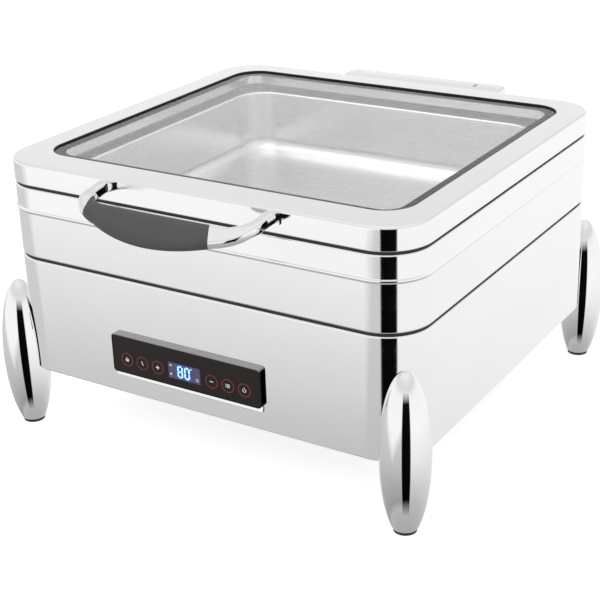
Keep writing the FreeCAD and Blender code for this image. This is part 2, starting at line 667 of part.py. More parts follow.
def hinge():
    # the pin sits in two ears of the bracket, and the lid's lugs turn on it
    plate = box(("-bracket_half", "wall_back", "axis_z - axis_back - bracket_height + 2"),
                ("2 * bracket_half", "bracket_thick", "bracket_height"))
    ears = []
    for start in (earStart, f"-({earStart}) - ear_wide"):
        web = body()
        outline = sketch(web, "YZ", start)
        polygon(outline, [at("bracket_thick - axis_back", "-34"), at("bracket_thick - axis_back", "-12"),
                          at("-barrel_radius", "0"), at("0", "barrel_radius / 2"),
                          at("barrel_radius * 0.8", "-barrel_radius / 2"),
                          at("-5", "-10.5"), at("-5", "-15")])
        pad(web, outline, "ear_wide")
        ears += [web, barrel(start, "ear_wide")]
    bore = barrel("-bracket_half", "2 * bracket_half", "pin_radius")
    node(cut(fuse(plate, *ears), bore, *bores(bracketPoints, "-y", "bracket_thick + 1")), "hinge_bracket")
    screws("bracket_screws", bracketPoints, "-y", "bracket_thick + sheet + 5")
    reach = f"{earStart} + ear_wide + 2"
    node(barrel(f"-({reach})", f"2 * ({reach})", "pin_radius"), "hinge_pin")
    node(cut(barrel("-damper_half", "2 * damper_half"), barrel("-damper_half - 1", "2 * damper_half + 2",
                                                             "pin_radius")), "hinge_damper")
    cover = body()
    pad(cover, rounded(sketch(cover, "XY", "axis_z - cover_below"), "cover_width", "2 * axis_back",
                       "cover_round", "cover_x", "axis_y"), "cover_below + axis_drop + cover_rise")
    roundEdges(cover, "2", "lid_top + cover_rise")
    pocket(cover, rounded(sketch(cover, "XY", "axis_z - cover_below"), "cover_width - 2 * cover_wall",
                          "2 * axis_back - 2 * cover_wall", "cover_round - cover_wall", "cover_x", "axis_y"),
           "cover_below + axis_drop + cover_rise - cover_wall")
    lugs = []
    for start in (lugStart, f"-({lugStart}) - lug_wide"):
        lugs.append(box((start, "axis_y - lug_depth / 2", "axis_z"),
                        ("lug_wide", "lug_depth", "axis_drop + cover_rise - cover_wall")))
        lugs.append(barrel(start, "lug_wide"))
    openBack = box(("cover_x - cover_width / 2 + cover_round", "axis_y + axis_back - cover_wall - 1",
                    "axis_z - cover_below - 1"),
                   ("cover_width - 2 * cover_round", "cover_wall + 2", "cover_below - 3"))
    bushBore = barrel(f"-({lugStart}) - lug_wide - 1", f"2 * ({lugStart} + lug_wide + 1)",
                      "pin_radius + pin_clear + bush_wall")
    fixings = [(f"{s} cover_screw_x", "wall_back + cover_wall", "lid_bottom + lid_height / 2") for s in "+-"]
    node(cut(fuse(cover, *lugs), openBack, bushBore, *bores(fixings, "-y", "cover_wall + 1")), "hinge_cover")
    bushes = []
    for start in (lugStart, f"-({lugStart}) - lug_wide"):
        bushes.append(cut(barrel(start, "lug_wide", "pin_radius + pin_clear + bush_wall"),
                          barrel(f"{start} - 1", "lug_wide + 2", "pin_radius + pin_clear")))
    node(group(*bushes), "hinge_bushes")
    screws("cover_screws", fixings, "-y", "cover_wall + sheet + 4")
    return fixings


coverPoints = hinge()


# lid
handlePoints = [(f"handle_x {s} (handle_half - stem_wide / 2)", "wall_front + sheet", "stem_z") for s in "+-"]


def windowPlan(owner, level, grow):
    return plan(owner, level, f"window_width + 2 * ({grow})", f"window_depth + 2 * ({grow})",
                f"window_radius + ({grow})", "pan_y")


def lid():
    work = body()
    pad(work, bodyPlan(work, "lid_bottom", "0"), "lid_height")
    roundEdges(work, "lid_round", "lid_top")
    pocket(work, bodyPlan(work, "lid_bottom + sheet", "sheet"), "lid_height - 2 * sheet")
    pocket(work, bodyPlan(work, "lid_bottom", "flange_narrow"), "sheet")
    pocket(work, windowPlan(work, "lid_top - sheet", "0"), "sheet")
    holes = bores(handlePoints, "-y", "sheet + 1") + bores(coverPoints, "-y", "cover_wall + sheet + 1")
    node(cut(work, *holes), "lid_frame")
    glass = body("lid_glass")
    pad(glass, windowPlan(glass, "glass_bottom", "-gasket"), "glass_thick")
    roundEdges(glass, "0.5", "glass_top")
    seal = body("glass_gasket")
    pad(seal, windowPlan(seal, "glass_bottom", "gasket_under"), "lid_top - sheet - (glass_bottom)")
    pad(seal, windowPlan(seal, "lid_top - sheet", "0"), "sheet * 0.8")
    pocket(seal, windowPlan(seal, "glass_bottom", "-gasket"), "lid_top - (glass_bottom)")
    clip = body()
    pad(clip, windowPlan(clip, "glass_bottom - sheet", "retainer_outset"), "sheet")
    lip = "glass_bottom - sheet - retainer_lip"
    pad(clip, windowPlan(clip, lip, "-retainer_inset + sheet"), "retainer_lip")
    pocket(clip, windowPlan(clip, lip, "-retainer_inset"), "retainer_lip + sheet")
    x, y = "window_width / 2 + retainer_outset - 4", "window_depth / 2 + retainer_outset - 4"
    under = "glass_bottom - sheet"
    signs = [(a, b) for a in "+-" for b in "+-"]
    points = [(f"{a}({x})", f"pan_y {b}(window_depth / 4)", under) for a, b in signs]
    points += [(f"{a}(window_width / 4)", f"pan_y {b}({y})", under) for a, b in signs]
    node(cut(clip, *bores(points, "+z", "sheet + 1")), "glass_retainer")
    screws("retainer_screws", points, "+z", "lid_top - sheet - (glass_bottom) + sheet")


def handleSlab(inset):
    # the handle's side profile: level stems that turn into a blade leaning down and out
    work = body()
    half = f"(handle_thick / 2 - ({inset}))"
    drawn = sketch(work, "YZ", "handle_x - handle_half - 10")
    face = "wall_front - plate_thick"
    polygon(drawn, [(face, f"stem_z + {half}"), (f"wall_front - finger_gap + 3", f"stem_z - 3 + {half}"),
                    (f"wall_front - handle_reach", f"stem_z - 4 - handle_drop + {half}"),
                    (f"wall_front - handle_reach", f"stem_z - 4 - handle_drop - {half}"),
                    (f"wall_front - finger_gap", f"stem_z - 4 - {half}"), (face, f"stem_z - {half}")])
    pad(work, drawn, "2 * handle_half + 20")
    return work


def handlePlan(inset):
    # the crescent seen from above, with a stem at each end
    rise = "(handle_reach - finger_gap)"
    radius = f"((handle_half ^ 2 + {rise} ^ 2) / (2 * {rise}))"
    disc = rod(("handle_x", f"wall_front - handle_reach + {radius}", "ground_gap"),
               f"{radius} - ({inset})", "lid_top", "+z")
    block = box((f"handle_x - handle_half + ({inset})", "wall_front - handle_reach", "ground_gap"),
                (f"2 * handle_half - 2 * ({inset})", "handle_reach - plate_thick", "lid_top"))
    gapIn = box((f"handle_x - handle_half + stem_wide - ({inset})", f"wall_front - finger_gap - ({inset})",
                 "ground_gap - 1"),
                (f"2 * (handle_half - stem_wide + ({inset}))", f"finger_gap + ({inset}) + 1", "lid_top + 2"))
    return cut(common(disc, block), gapIn)


def handle():
    whole = common(handlePlan("0"), handleSlab("0"))
    core = common(handlePlan("grip_wall"), handleSlab("grip_wall"))
    span = ("grip_left + grip_right", "handle_reach + 2", "lid_top")
    low = ("-grip_left", "wall_front - handle_reach - 1", "ground_gap")
    grip = common(whole, box(low, span))
    threads = [rod(along(point, "-y", "1"), "screw_radius", "sheet + plate_thick + 12", "-y")
               for point in handlePoints]
    node(cut(fuse(cut(whole, box(low, span)), core), *threads), "handle_bow")
    node(cut(grip, core), "handle_grip")
    plate = body()
    drawn = rounded(sketch(plate, "XZ", "-wall_front"), "2 * handle_half + 6", "plate_height", "2",
                    "handle_x", "stem_z")
    pad(plate, drawn, "plate_thick")
    node(cut(plate, *bores(handlePoints, "-y", "sheet + plate_thick + 1")), "handle_plate")
    screws("handle_screws", handlePoints, "-y", "sheet + plate_thick + 10")


lid()
handle()

# checks, then one file for each sub-part
doc.recompute()
faults = [item.Label for item in doc.Objects if {"Invalid", "Error"} & set(item.State)]
for item in nodes:
    if item.Shape.isNull() or not item.Shape.isValid() or item.Shape.Volume <= 0:
        faults.append(item.Label + " shape")
if faults:
    raise RuntimeError("bad objects: " + ", ".join(faults))

os.makedirs("parts", exist_ok=True)
whole = FreeCAD.BoundBox()
for item in nodes:
    item.Shape.exportStep(os.path.join("parts", item.Label + ".step"))
    whole.add(item.Shape.BoundBox)
    print(f"{item.Label:22s} solids {len(item.Shape.Solids)}  volume {item.Shape.Volume / 1000:9.2f} cm3")
print(len(nodes), "nodes, box", whole)
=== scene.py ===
import json
import math

import bmesh
import bpy
from mathutils import Matrix, Vector


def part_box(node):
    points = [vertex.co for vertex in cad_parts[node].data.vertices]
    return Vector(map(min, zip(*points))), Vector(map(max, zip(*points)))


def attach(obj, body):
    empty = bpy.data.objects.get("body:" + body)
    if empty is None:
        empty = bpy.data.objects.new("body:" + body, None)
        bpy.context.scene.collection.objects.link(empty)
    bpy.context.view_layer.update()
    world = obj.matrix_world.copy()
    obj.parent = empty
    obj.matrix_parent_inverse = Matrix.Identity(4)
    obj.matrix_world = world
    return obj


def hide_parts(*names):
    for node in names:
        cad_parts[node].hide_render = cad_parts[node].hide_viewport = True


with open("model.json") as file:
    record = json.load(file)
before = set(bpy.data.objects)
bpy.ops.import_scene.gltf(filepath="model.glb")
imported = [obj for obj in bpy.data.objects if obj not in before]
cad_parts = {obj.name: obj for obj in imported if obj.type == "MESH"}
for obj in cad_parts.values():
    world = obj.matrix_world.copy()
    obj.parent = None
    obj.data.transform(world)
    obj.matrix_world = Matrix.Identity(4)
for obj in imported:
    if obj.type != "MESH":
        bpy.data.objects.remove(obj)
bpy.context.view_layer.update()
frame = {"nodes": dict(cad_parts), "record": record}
scene = bpy.context.scene
scene.view_settings.view_transform = "Standard"
print("frame loaded:", len(frame["nodes"]), "nodes")

mm = 0.001


def corners(node):
    low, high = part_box(node)
    return Vector(low), Vector(high)


# the camera stands in front, a third of the way round to the right
bodyLow, bodyHigh = corners("base_housing")
bodyMiddle = (bodyLow + bodyHigh) / 2

view = {
    "azimuth": 32.47,      # degrees to the right of straight on
    "elevation": 23.44,
    "roll": -1.86,
    "offset": (0.6527, -1.0504, 0.5677),   # from the middle of the housing's underside
    "lens": 81.97,
}


def makeCamera():
    az, el, roll = (math.radians(view[k]) for k in ("azimuth", "elevation", "roll"))
    back = Vector((math.sin(az) * math.cos(el), -math.cos(az) * math.cos(el), math.sin(el)))
    right = (-back).cross(Vector((0, 0, 1))).normalized()
    up = right.cross(-back)
    camX = math.cos(roll) * right + math.sin(roll) * up
    camY = -math.sin(roll) * right + math.cos(roll) * up
    data = bpy.data.cameras.new("camera")
    data.lens = view["lens"]
    data.sensor_width = 36
    cam = bpy.data.objects.new("camera", data)
    scene.collection.objects.link(cam)
    turn = Matrix((camX, camY, back)).transposed().to_4x4()
    spot = Vector((bodyMiddle.x, bodyMiddle.y, bodyLow.z)) + Vector(view["offset"])
    cam.matrix_world = Matrix.Translation(spot) @ turn
    scene.camera = cam


makeCamera()


# nodes that the studio and the finishes share
def addMath(tree, operation, first, second=0.0, clamp=False):
    node = tree.nodes.new("ShaderNodeMath")
    node.operation = operation
    node.use_clamp = clamp
    for socket, value in zip(node.inputs, (first, second)):
        if isinstance(value, (int, float)):
            socket.default_value = value
        else:
            tree.links.new(value, socket)
    return node.outputs[0]


def addRange(tree, value, low, high, toLow, toHigh):
    node = tree.nodes.new("ShaderNodeMapRange")
    tree.links.new(value, node.inputs["Value"])
    for label, number in zip(("From Min", "From Max", "To Min", "To Max"), (low, high, toLow, toHigh)):
        if isinstance(number, (int, float)):
            node.inputs[label].default_value = number
        else:
            tree.links.new(number, node.inputs[label])
    return node.outputs[0]


# a white room with one dark side, which only polished metal sees
studio = {
    # the room's grey by height above the horizon, in degrees
    "general": [(-90, 0.42), (-60, 0.46), (-45, 0.54), (-36, 0.70), (-30, 0.85), (-25, 0.94), (-20, 1.0),
                (-14, 1.04), (8, 1.0), (12, 0.97), (14.5, 0.92), (19, 0.83), (23, 0.775), (36, 0.80),
                (48, 0.88), (65, 0.92), (90, 0.95)],
    # how much darker its front left side is, lower down
    "frontShade": [(-27, 0.67), (-25.4, 0.67), (-23, 0.80), (-21, 0.86), (-20, 0.90), (-19, 0.97),
                   (-18, 1.0)],
    "frontSpan": (-30, -15),   # the heights that those stops lie between
    "frontSlope": 0.31,        # the shade leans by this share of the turn towards the right
    "frontHeading": -44.0,
    "frontTurn": 15.0,         # and leans back again past this much
    "frontMiddle": -45.0,
    "frontFade": (55, 75),     # how far either side of its middle the shade fades out
    "frontLow": (-50, -36),    # and below this height it is gone
    "bandAt": 31.0,            # degrees, the middle of the dark side of the room
    "bandHalf": 19.0,
    "bandSoft": 1.5,
    "bandGrey": 0.003,
    "bandTop": (5, 19),        # where the dark side fades out above and below
    "bandFoot": (-56, -45),
    "fill": 1.0,
}


def makeStudio():
    world = bpy.data.worlds.new("studio")
    scene.world = world
    world.use_nodes = True
    tree = world.node_tree
    tree.nodes.clear()
    new = tree.nodes.new
    link = tree.links.new
    where = new("ShaderNodeTexCoord")
    parts = new("ShaderNodeSeparateXYZ")
    link(where.outputs["Generated"], parts.inputs[0])

    def sums(operation, first, second=0.0):
        return addMath(tree, operation, first, second)

    def ramp(value, low, high, stops):
        # grey by stops over a range of degrees
        node = new("ShaderNodeValToRGB")
        link(sums("DIVIDE", sums("SUBTRACT", value, low), high - low), node.inputs[0])
        while len(node.color_ramp.elements) < len(stops):
            node.color_ramp.elements.new(0.5)
        for element, (angle, grey) in zip(node.color_ramp.elements, stops):
            element.position = (angle - low) / (high - low)
            element.color = (grey, grey, grey, 1)
        return node.outputs[0]

    def fade(value, start, end, fromValue, toValue):
        return addRange(tree, value, start, end, fromValue, toValue)

    # height above the horizon and heading from the front, in degrees
    height = sums("MULTIPLY", sums("ARCSINE", parts.outputs["Z"]), 180 / math.pi)
    heading = sums("MULTIPLY", sums("ARCTAN2", parts.outputs["X"], sums("MULTIPLY", parts.outputs["Y"], -1)),
                   180 / math.pi)
    general = ramp(height, -90, 90, studio["general"])
    past = sums("ABSOLUTE", sums("SUBTRACT", heading, studio["frontHeading"] + studio["frontTurn"]))
    turned = sums("SUBTRACT", studio["frontTurn"], past)
    leaning = sums("ADD", height, sums("MULTIPLY", turned, studio["frontSlope"]))
    shade = ramp(leaning, *studio["frontSpan"], studio["frontShade"])
    aside = sums("ABSOLUTE", sums("ADD", heading, -studio["frontMiddle"]))
    inFront = fade(aside, *studio["frontFade"], 0.0, 1.0)
    shade = sums("MAXIMUM", sums("MAXIMUM", shade, inFront), fade(height, *studio["frontLow"], 1.0, 0.0))
    # the dark side is a tall panel that only polished metal sees
    away = sums("ABSOLUTE", sums("SUBTRACT", heading, studio["bandAt"]))
    half, soft = studio["bandHalf"], studio["bandSoft"]
    beside = fade(away, half - soft, half + soft, studio["bandGrey"], 1.0)
    above = fade(height, *studio["bandTop"], 0.0, 1.0)
    below = fade(height, *studio["bandFoot"], 1.0, 0.0)
    darkness = sums("MAXIMUM", sums("MAXIMUM", beside, above), below)
    mirror = new("ShaderNodeVectorMath")
    mirror.operation = "SCALE"
    link(general, mirror.inputs[0])
    link(sums("MULTIPLY", shade, darkness), mirror.inputs["Scale"])
    path = new("ShaderNodeLightPath")
    plain = new("ShaderNodeBackground")
    plain.inputs["Color"].default_value = (1, 1, 1, 1)
    plain.inputs["Strength"].default_value = studio["fill"]
    shiny = new("ShaderNodeBackground")
    link(mirror.outputs[0], shiny.inputs["Color"])
    mix = new("ShaderNodeMixShader")
    link(path.outputs["Is Glossy Ray"], mix.inputs[0])
    link(plain.outputs[0], mix.inputs[1])
    link(shiny.outputs[0], mix.inputs[2])
    out = new("ShaderNodeOutputWorld")
    link(mix.outputs[0], out.inputs[0])

    data = bpy.data.lights.new("overhead", "AREA")
    data.energy = 6
    data.size = 1.6
    lamp = bpy.data.objects.new("overhead", data)
    lamp.location = (-0.5, -0.4, 2.0)
    lamp.rotation_euler = (math.radians(-12), math.radians(-14), 0)
    lamp.visible_glossy = False
    scene.collection.objects.link(lamp)


makeStudio()


# surface effects that several finishes share
def newGroup(name, inputs, outputs):
    tree = bpy.data.node_groups.new(name, "ShaderNodeTree")
    for label, kind, value in inputs:
        socket = tree.interface.new_socket(label, in_out="INPUT", socket_type=kind)
        if value is not None:
            socket.default_value = value
    for label, kind in outputs:
        tree.interface.new_socket(label, in_out="OUTPUT", socket_type=kind)
    entry = tree.nodes.new("NodeGroupInput")
    leave = tree.nodes.new("NodeGroupOutput")
    return tree, entry, leave


def addNoise(tree, vector, scale, detail=3.0, rough=0.5, stretch=None):
    if stretch:
        mapping = tree.nodes.new("ShaderNodeMapping")
        mapping.inputs["Scale"].default_value = stretch
        tree.links.new(vector, mapping.inputs["Vector"])
        vector = mapping.outputs[0]
    noise = tree.nodes.new("ShaderNodeTexNoise")
    tree.links.new(vector, noise.inputs["Vector"])
    if isinstance(scale, (int, float)):
        noise.inputs["Scale"].default_value = scale
    else:
        tree.links.new(scale, noise.inputs["Scale"])
    noise.inputs["Detail"].default_value = detail
    noise.inputs["Roughness"].default_value = rough
    return noise.outputs["Fac"]


def makePolishGroup():
    # wiped and handled metal: soft haze, faint wipe marks and a slow waver in the sheet
    tree, entry, leave = newGroup(
        "wipedPolish",
        [("Vector", "NodeSocketVector", None), ("Roughness", "NodeSocketFloat", 0.05),
         ("Haze", "NodeSocketFloat", 0.04), ("Waver", "NodeSocketFloat", 0.3),
         ("Tone", "NodeSocketFloat", 0.9)],
        [("Roughness", "NodeSocketFloat"), ("Height", "NodeSocketFloat"), ("Tone", "NodeSocketFloat")])
    where = entry.outputs["Vector"]
    smear = addNoise(tree, where, 9.0, 4.0, 0.6, (1.0, 1.0, 2.4))
    wipe = addNoise(tree, where, 60.0, 2.0, 0.5, (0.25, 0.25, 3.0))
    cloud = addRange(tree, smear, 0.45, 0.75, 0.0, 1.0)
    lines = addRange(tree, wipe, 0.5, 0.8, 0.0, 0.5)
    marks = addMath(tree, "ADD", cloud, lines)
    haze = addMath(tree, "MULTIPLY", marks, entry.outputs["Haze"])
    tree.links.new(addMath(tree, "ADD", haze, entry.outputs["Roughness"], True), leave.inputs["Roughness"])
    slow = addNoise(tree, where, 5.0, 1.0, 0.4)
    fine = addNoise(tree, where, 420.0, 2.0, 0.5)
    height = addMath(tree, "ADD", addMath(tree, "MULTIPLY", slow, entry.outputs["Waver"]),
                     addMath(tree, "MULTIPLY", fine, 0.004))
    tree.links.new(height, leave.inputs["Height"])
    shade = addRange(tree, smear, 0.3, 0.8, 1.0, 0.975)
    tree.links.new(addMath(tree, "MULTIPLY", shade, entry.outputs["Tone"]), leave.inputs["Tone"])
    return tree


def makeBrushGroup():
    # straight satin grain along X, with a little unevenness
    tree, entry, leave = newGroup(
        "brushedGrain",
        [("Vector", "NodeSocketVector", None), ("Roughness", "NodeSocketFloat", 0.3),
         ("Depth", "NodeSocketFloat", 0.1), ("Tone", "NodeSocketFloat", 0.8)],
        [("Roughness", "NodeSocketFloat"), ("Height", "NodeSocketFloat"), ("Tone", "NodeSocketFloat")])
    where = entry.outputs["Vector"]
    grain = addNoise(tree, where, 900.0, 3.0, 0.6, (0.012, 1.0, 1.0))
    patch = addNoise(tree, where, 14.0, 3.0, 0.6)
    spread = addRange(tree, grain, 0.3, 0.7, -0.5, 0.5)
    change = addMath(tree, "MULTIPLY", spread, entry.outputs["Depth"])
    uneven = addMath(tree, "MULTIPLY", addRange(tree, patch, 0.3, 0.7, -0.3, 0.3), entry.outputs["Depth"])
    rough = addMath(tree, "ADD", addMath(tree, "ADD", entry.outputs["Roughness"], change), uneven, True)
    tree.links.new(rough, leave.inputs["Roughness"])
    tree.links.new(grain, leave.inputs["Height"])
    shade = addMath(tree, "ADD", 1.0, addMath(tree, "MULTIPLY", change, 0.5))
    tree.links.new(addMath(tree, "MULTIPLY", shade, entry.outputs["Tone"]), leave.inputs["Tone"])
    return tree


def makeMouldGroup():
    # moulded plastic and rubber: fine spark texture, dust in scattered patches and slight blotches
    tree, entry, leave = newGroup(
        "mouldedSkin",
        [("Vector", "NodeSocketVector", None), ("Color", "NodeSocketColor", (0.1, 0.1, 0.1, 1)),
         ("Roughness", "NodeSocketFloat", 0.5), ("Texture", "NodeSocketFloat", 900.0),
         ("Dust", "NodeSocketFloat", 0.06)],
        [("Color", "NodeSocketColor"), ("Roughness", "NodeSocketFloat"), ("Height", "NodeSocketFloat")])
    where = entry.outputs["Vector"]
    spark = addNoise(tree, where, entry.outputs["Texture"], 2.0, 0.6)
    blotch = addNoise(tree, where, 22.0, 4.0, 0.6)
    dusty = addMath(tree, "MULTIPLY", addRange(tree, blotch, 0.5, 0.75, 0.0, 1.0), entry.outputs["Dust"])
    mix = tree.nodes.new("ShaderNodeMix")
    mix.data_type = "RGBA"
    tree.links.new(dusty, mix.inputs["Factor"])
    tree.links.new(entry.outputs["Color"], mix.inputs[6])
    mix.inputs[7].default_value = (0.55, 0.54, 0.52, 1)
    tree.links.new(mix.outputs[2], leave.inputs["Color"])
    rough = addMath(tree, "ADD", entry.outputs["Roughness"],
                    addRange(tree, blotch, 0.3, 0.7, -0.05, 0.07), True)
    tree.links.new(rough, leave.inputs["Roughness"])
    tree.links.new(spark, leave.inputs["Height"])
    return tree


polishGroup = makePolishGroup()
brushGroup = makeBrushGroup()
mouldGroup = makeMouldGroup()


# finishes
class Finish:
    def __init__(self, name):
        self.material = bpy.data.materials.new(name)
        self.material.use_nodes = True
        self.tree = self.material.node_tree
        self.shader = self.tree.nodes["Principled BSDF"]
        self.where = self.tree.nodes.new("ShaderNodeTexCoord").outputs["Object"]

    def set(self, **values):
        for label, value in values.items():
            self.shader.inputs[label.replace("_", " ")].default_value = value

    def link(self, output, label):
        self.tree.links.new(output, self.shader.inputs[label])

    def place(self, group, **values):
        node = self.tree.nodes.new("ShaderNodeGroup")
        node.node_tree = group
        self.tree.links.new(self.where, node.inputs["Vector"])
        for label, value in values.items():
            node.inputs[label].default_value = value
        return node

    def upward(self):
        # how far a face looks up on its own piece, open or shut
        facing = self.tree.nodes.new("ShaderNodeSeparateXYZ")
        self.tree.links.new(self.where.node.outputs["Normal"], facing.inputs[0])
        return facing.outputs["Z"]

    def bump(self, height, strength, distance):
        node = self.tree.nodes.new("ShaderNodeBump")
        node.inputs["Strength"].default_value = strength
        node.inputs["Distance"].default_value = distance
        self.tree.links.new(height, node.inputs["Height"])
        self.link(node.outputs[0], "Normal")

    def tint(self, tone, color):
        # a tone from a group, spread over a metal's own colour
        node = self.tree.nodes.new("ShaderNodeVectorMath")
        node.operation = "SCALE"
        node.inputs[0].default_value = color
        self.tree.links.new(tone, node.inputs["Scale"])
        self.link(node.outputs[0], "Base Color")


def polished(name, color, roughness, haze=0.05, waver=0.3, lift=0.0006, onTop=0.0):
    # faces that look up can be a little more satin than the walls
    finish = Finish(name)
    finish.set(Metallic=1.0)
    group = finish.place(polishGroup, Roughness=roughness, Haze=haze, Waver=waver, Tone=1.0)
    satin = addRange(finish.tree, finish.upward(), 0.3, 0.9, 0.0, onTop)
    finish.link(addMath(finish.tree, "ADD", group.outputs["Roughness"], satin), "Roughness")
    finish.tint(group.outputs["Tone"], color)
    finish.bump(group.outputs["Height"], 0.25, lift)
    return finish.material


def brushed(name, color, roughness, depth=0.12, lift=0.00004):
    finish = Finish(name)
    finish.set(Metallic=1.0)
    group = finish.place(brushGroup, Roughness=roughness, Depth=depth, Tone=1.0)
    finish.link(group.outputs["Roughness"], "Roughness")
    finish.tint(group.outputs["Tone"], color)
    finish.bump(group.outputs["Height"], 0.4, lift)
    return finish.material


def moulded(name, color, roughness, texture=900.0, dust=0.05, lift=0.00005, **more):
    finish = Finish(name)
    finish.set(**more)
    group = finish.place(mouldGroup, Color=(*color, 1), Roughness=roughness, Texture=texture, Dust=dust)
    finish.link(group.outputs["Color"], "Base Color")
    finish.link(group.outputs["Roughness"], "Roughness")
    finish.bump(group.outputs["Height"], 0.3, lift)
    return finish.material


def clearGlass(name):
    # clear toughened glass with the faintest green and a few wipe marks
    finish = Finish(name)
    finish.set(Transmission_Weight=1.0, IOR=1.5, Base_Color=(0.994, 0.998, 0.997, 1))
    smear = addNoise(finish.tree, finish.where, 18.0, 4.0, 0.6, (1.0, 0.4, 1.0))
    finish.link(addRange(finish.tree, smear, 0.5, 0.8, 0.0, 0.05), "Roughness")
    return finish.material


def glowing(name, color, strength, base=(0.02, 0.02, 0.02)):
    # printed or lit marks behind the panel glass; the glow fades a little from place to place
    finish = Finish(name)
    finish.set(Roughness=0.25, Emission_Strength=strength, Base_Color=(*base, 1))
    cloud = addNoise(finish.tree, finish.where, 240.0, 2.0, 0.5)
    node = finish.tree.nodes.new("ShaderNodeVectorMath")
    node.operation = "SCALE"
    node.inputs[0].default_value = color
    finish.tree.links.new(addRange(finish.tree, cloud, 0.3, 0.7, 0.8, 1.1), node.inputs["Scale"])
    finish.link(node.outputs[0], "Emission Color")
    return finish.material


def darkFrame(name):
    # black chrome with a painted highlight: its colour is paler on the faces that look up
    finish = Finish(name)
    finish.set(Metallic=1.0)
    group = finish.place(polishGroup, Roughness=0.14, Haze=0.06, Waver=0.1, Tone=1.0)
    finish.link(group.outputs["Roughness"], "Roughness")
    # painted highlight: faces that look up get a paler base colour, standing in for the light they reflect
    paintedTopSheen = addRange(finish.tree, finish.upward(), 0.1, 0.9, 0.04, 0.42)
    finish.tint(addMath(finish.tree, "MULTIPLY", paintedTopSheen, group.outputs["Tone"]), (1.0, 1.0, 1.01))
    finish.bump(group.outputs["Height"], 0.25, 0.0003)
    return finish.material


def circuitBoard(name):
    # green laminate with paler copper tracks under the mask
    finish = Finish(name)
    brick = finish.tree.nodes.new("ShaderNodeTexBrick")
    brick.inputs["Scale"].default_value = 60.0
    brick.inputs["Mortar Size"].default_value = 0.035
    brick.inputs["Color1"].default_value = (0.008, 0.11, 0.045, 1)
    brick.inputs["Color2"].default_value = (0.012, 0.13, 0.05, 1)
    brick.inputs["Mortar"].default_value = (0.05, 0.26, 0.11, 1)
    finish.tree.links.new(finish.where, brick.inputs["Vector"])
    finish.link(brick.outputs["Color"], "Base Color")
    finish.set(Roughness=0.35, Coat_Weight=0.3)
    finish.bump(brick.outputs["Fac"], 0.2, 0.00005)
    return finish.material


materials = {
    "wallSteel": polished("wallSteel", (0.93, 0.93, 0.94), 0.07, 0.05),
    "lidSteel": polished("lidSteel", (0.93, 0.93, 0.935), 0.05, 0.05, onTop=0.08),
    "legChrome": polished("legChrome", (0.90, 0.90, 0.91), 0.035, 0.03, 0.1),
    "satinSteel": brushed("satinSteel", (0.74, 0.74, 0.75), 0.3),
    "panSteel": brushed("panSteel", (0.97, 0.97, 0.972), 0.26, 0.1),
    "zincSteel": brushed("zincSteel", (0.62, 0.64, 0.66), 0.32, 0.1),
    "castAluminium": moulded("castAluminium", (0.62, 0.62, 0.63), 0.5, 500.0, 0.05, Metallic=1.0),
    "elementSteel": brushed("elementSteel", (0.36, 0.33, 0.30), 0.42, 0.15),
    "brassPins": brushed("brassPins", (0.80, 0.62, 0.30), 0.25, 0.1),
    "bushBronze": brushed("bushBronze", (0.68, 0.48, 0.25), 0.4, 0.1),
    "lidGlass": clearGlass("lidGlass"),
    "blackRubber": moulded("blackRubber", (0.018, 0.018, 0.018), 0.6, 700.0, 0.03),
    "gripPlastic": moulded("gripPlastic", (0.052, 0.052, 0.054), 0.42, 1500.0, 0.02),
    "blackPlastic": moulded("blackPlastic", (0.025, 0.025, 0.027), 0.45, 1200.0, 0.05),
    "terminalGrey": moulded("terminalGrey", (0.62, 0.62, 0.60), 0.45, 900.0, 0.05),
    "relayBlue": moulded("relayBlue", (0.03, 0.12, 0.42), 0.35, 900.0, 0.04),
    "tapeYellow": moulded("tapeYellow", (0.72, 0.55, 0.08), 0.5, 500.0, 0.05),
    "sleeveNavy": moulded("sleeveNavy", (0.02, 0.025, 0.07), 0.3, 900.0, 0.04),
    "leadRed": moulded("leadRed", (0.45, 0.03, 0.025), 0.5, 900.0, 0.05),
    "ribbonGrey": moulded("ribbonGrey", (0.42, 0.42, 0.43), 0.5, 900.0, 0.05),
    "panelBlack": moulded("panelBlack", (0.012, 0.005, 0.0045), 0.08, 300.0, 0.0, 0.000002,
                          Specular_IOR_Level=0.3),
    "coverSteel": polished("coverSteel", (0.90, 0.90, 0.905), 0.16, 0.06),
    "panelFrame": darkFrame("panelFrame"),
    "keyRed": glowing("keyRed", (0.30, 0.018, 0.022), 0.9),
    "glyphWhite": glowing("glyphWhite", (0.75, 0.78, 0.80), 0.9),
    "displayField": glowing("displayField", (0.10, 0.075, 0.24), 0.55),
    "displayDeep": glowing("displayDeep", (0.02, 0.10, 0.50), 0.7),
    "digitBlue": glowing("digitBlue", (0.42, 0.80, 1.0), 1.6),
    "boardGreen": circuitBoard("boardGreen"),
}
print("materials ready:", len(materials))

slotOf = {entry["node"]: entry["material_slot"] for entry in frame["record"]["subparts"]}


def dress(obj, materialName):
    obj.data.materials.clear()
    obj.data.materials.append(materials[materialName])


# meshes from rings of points
def meshObject(name, verts, faces):
    mesh = bpy.data.meshes.new(name)
    mesh.from_pydata([tuple(v) for v in verts], [], faces)
    mesh.validate()
    work = bmesh.new()
    work.from_mesh(mesh)
    bmesh.ops.remove_doubles(work, verts=work.verts, dist=1e-7)
    bmesh.ops.recalc_face_normals(work, faces=work.faces)
    for face in work.faces:
        face.smooth = True
    work.to_mesh(mesh)
    work.free()
    obj = bpy.data.objects.new(name, mesh)
    scene.collection.objects.link(obj)
    return obj


def addPiece(name, verts, faces, materialName, body, replaced=(), sharp=30.0, weighted=True, slotName=None):
    obj = meshObject(name, verts, faces)
    finishPiece(obj, materialName, body, replaced, sharp, weighted)
    return obj


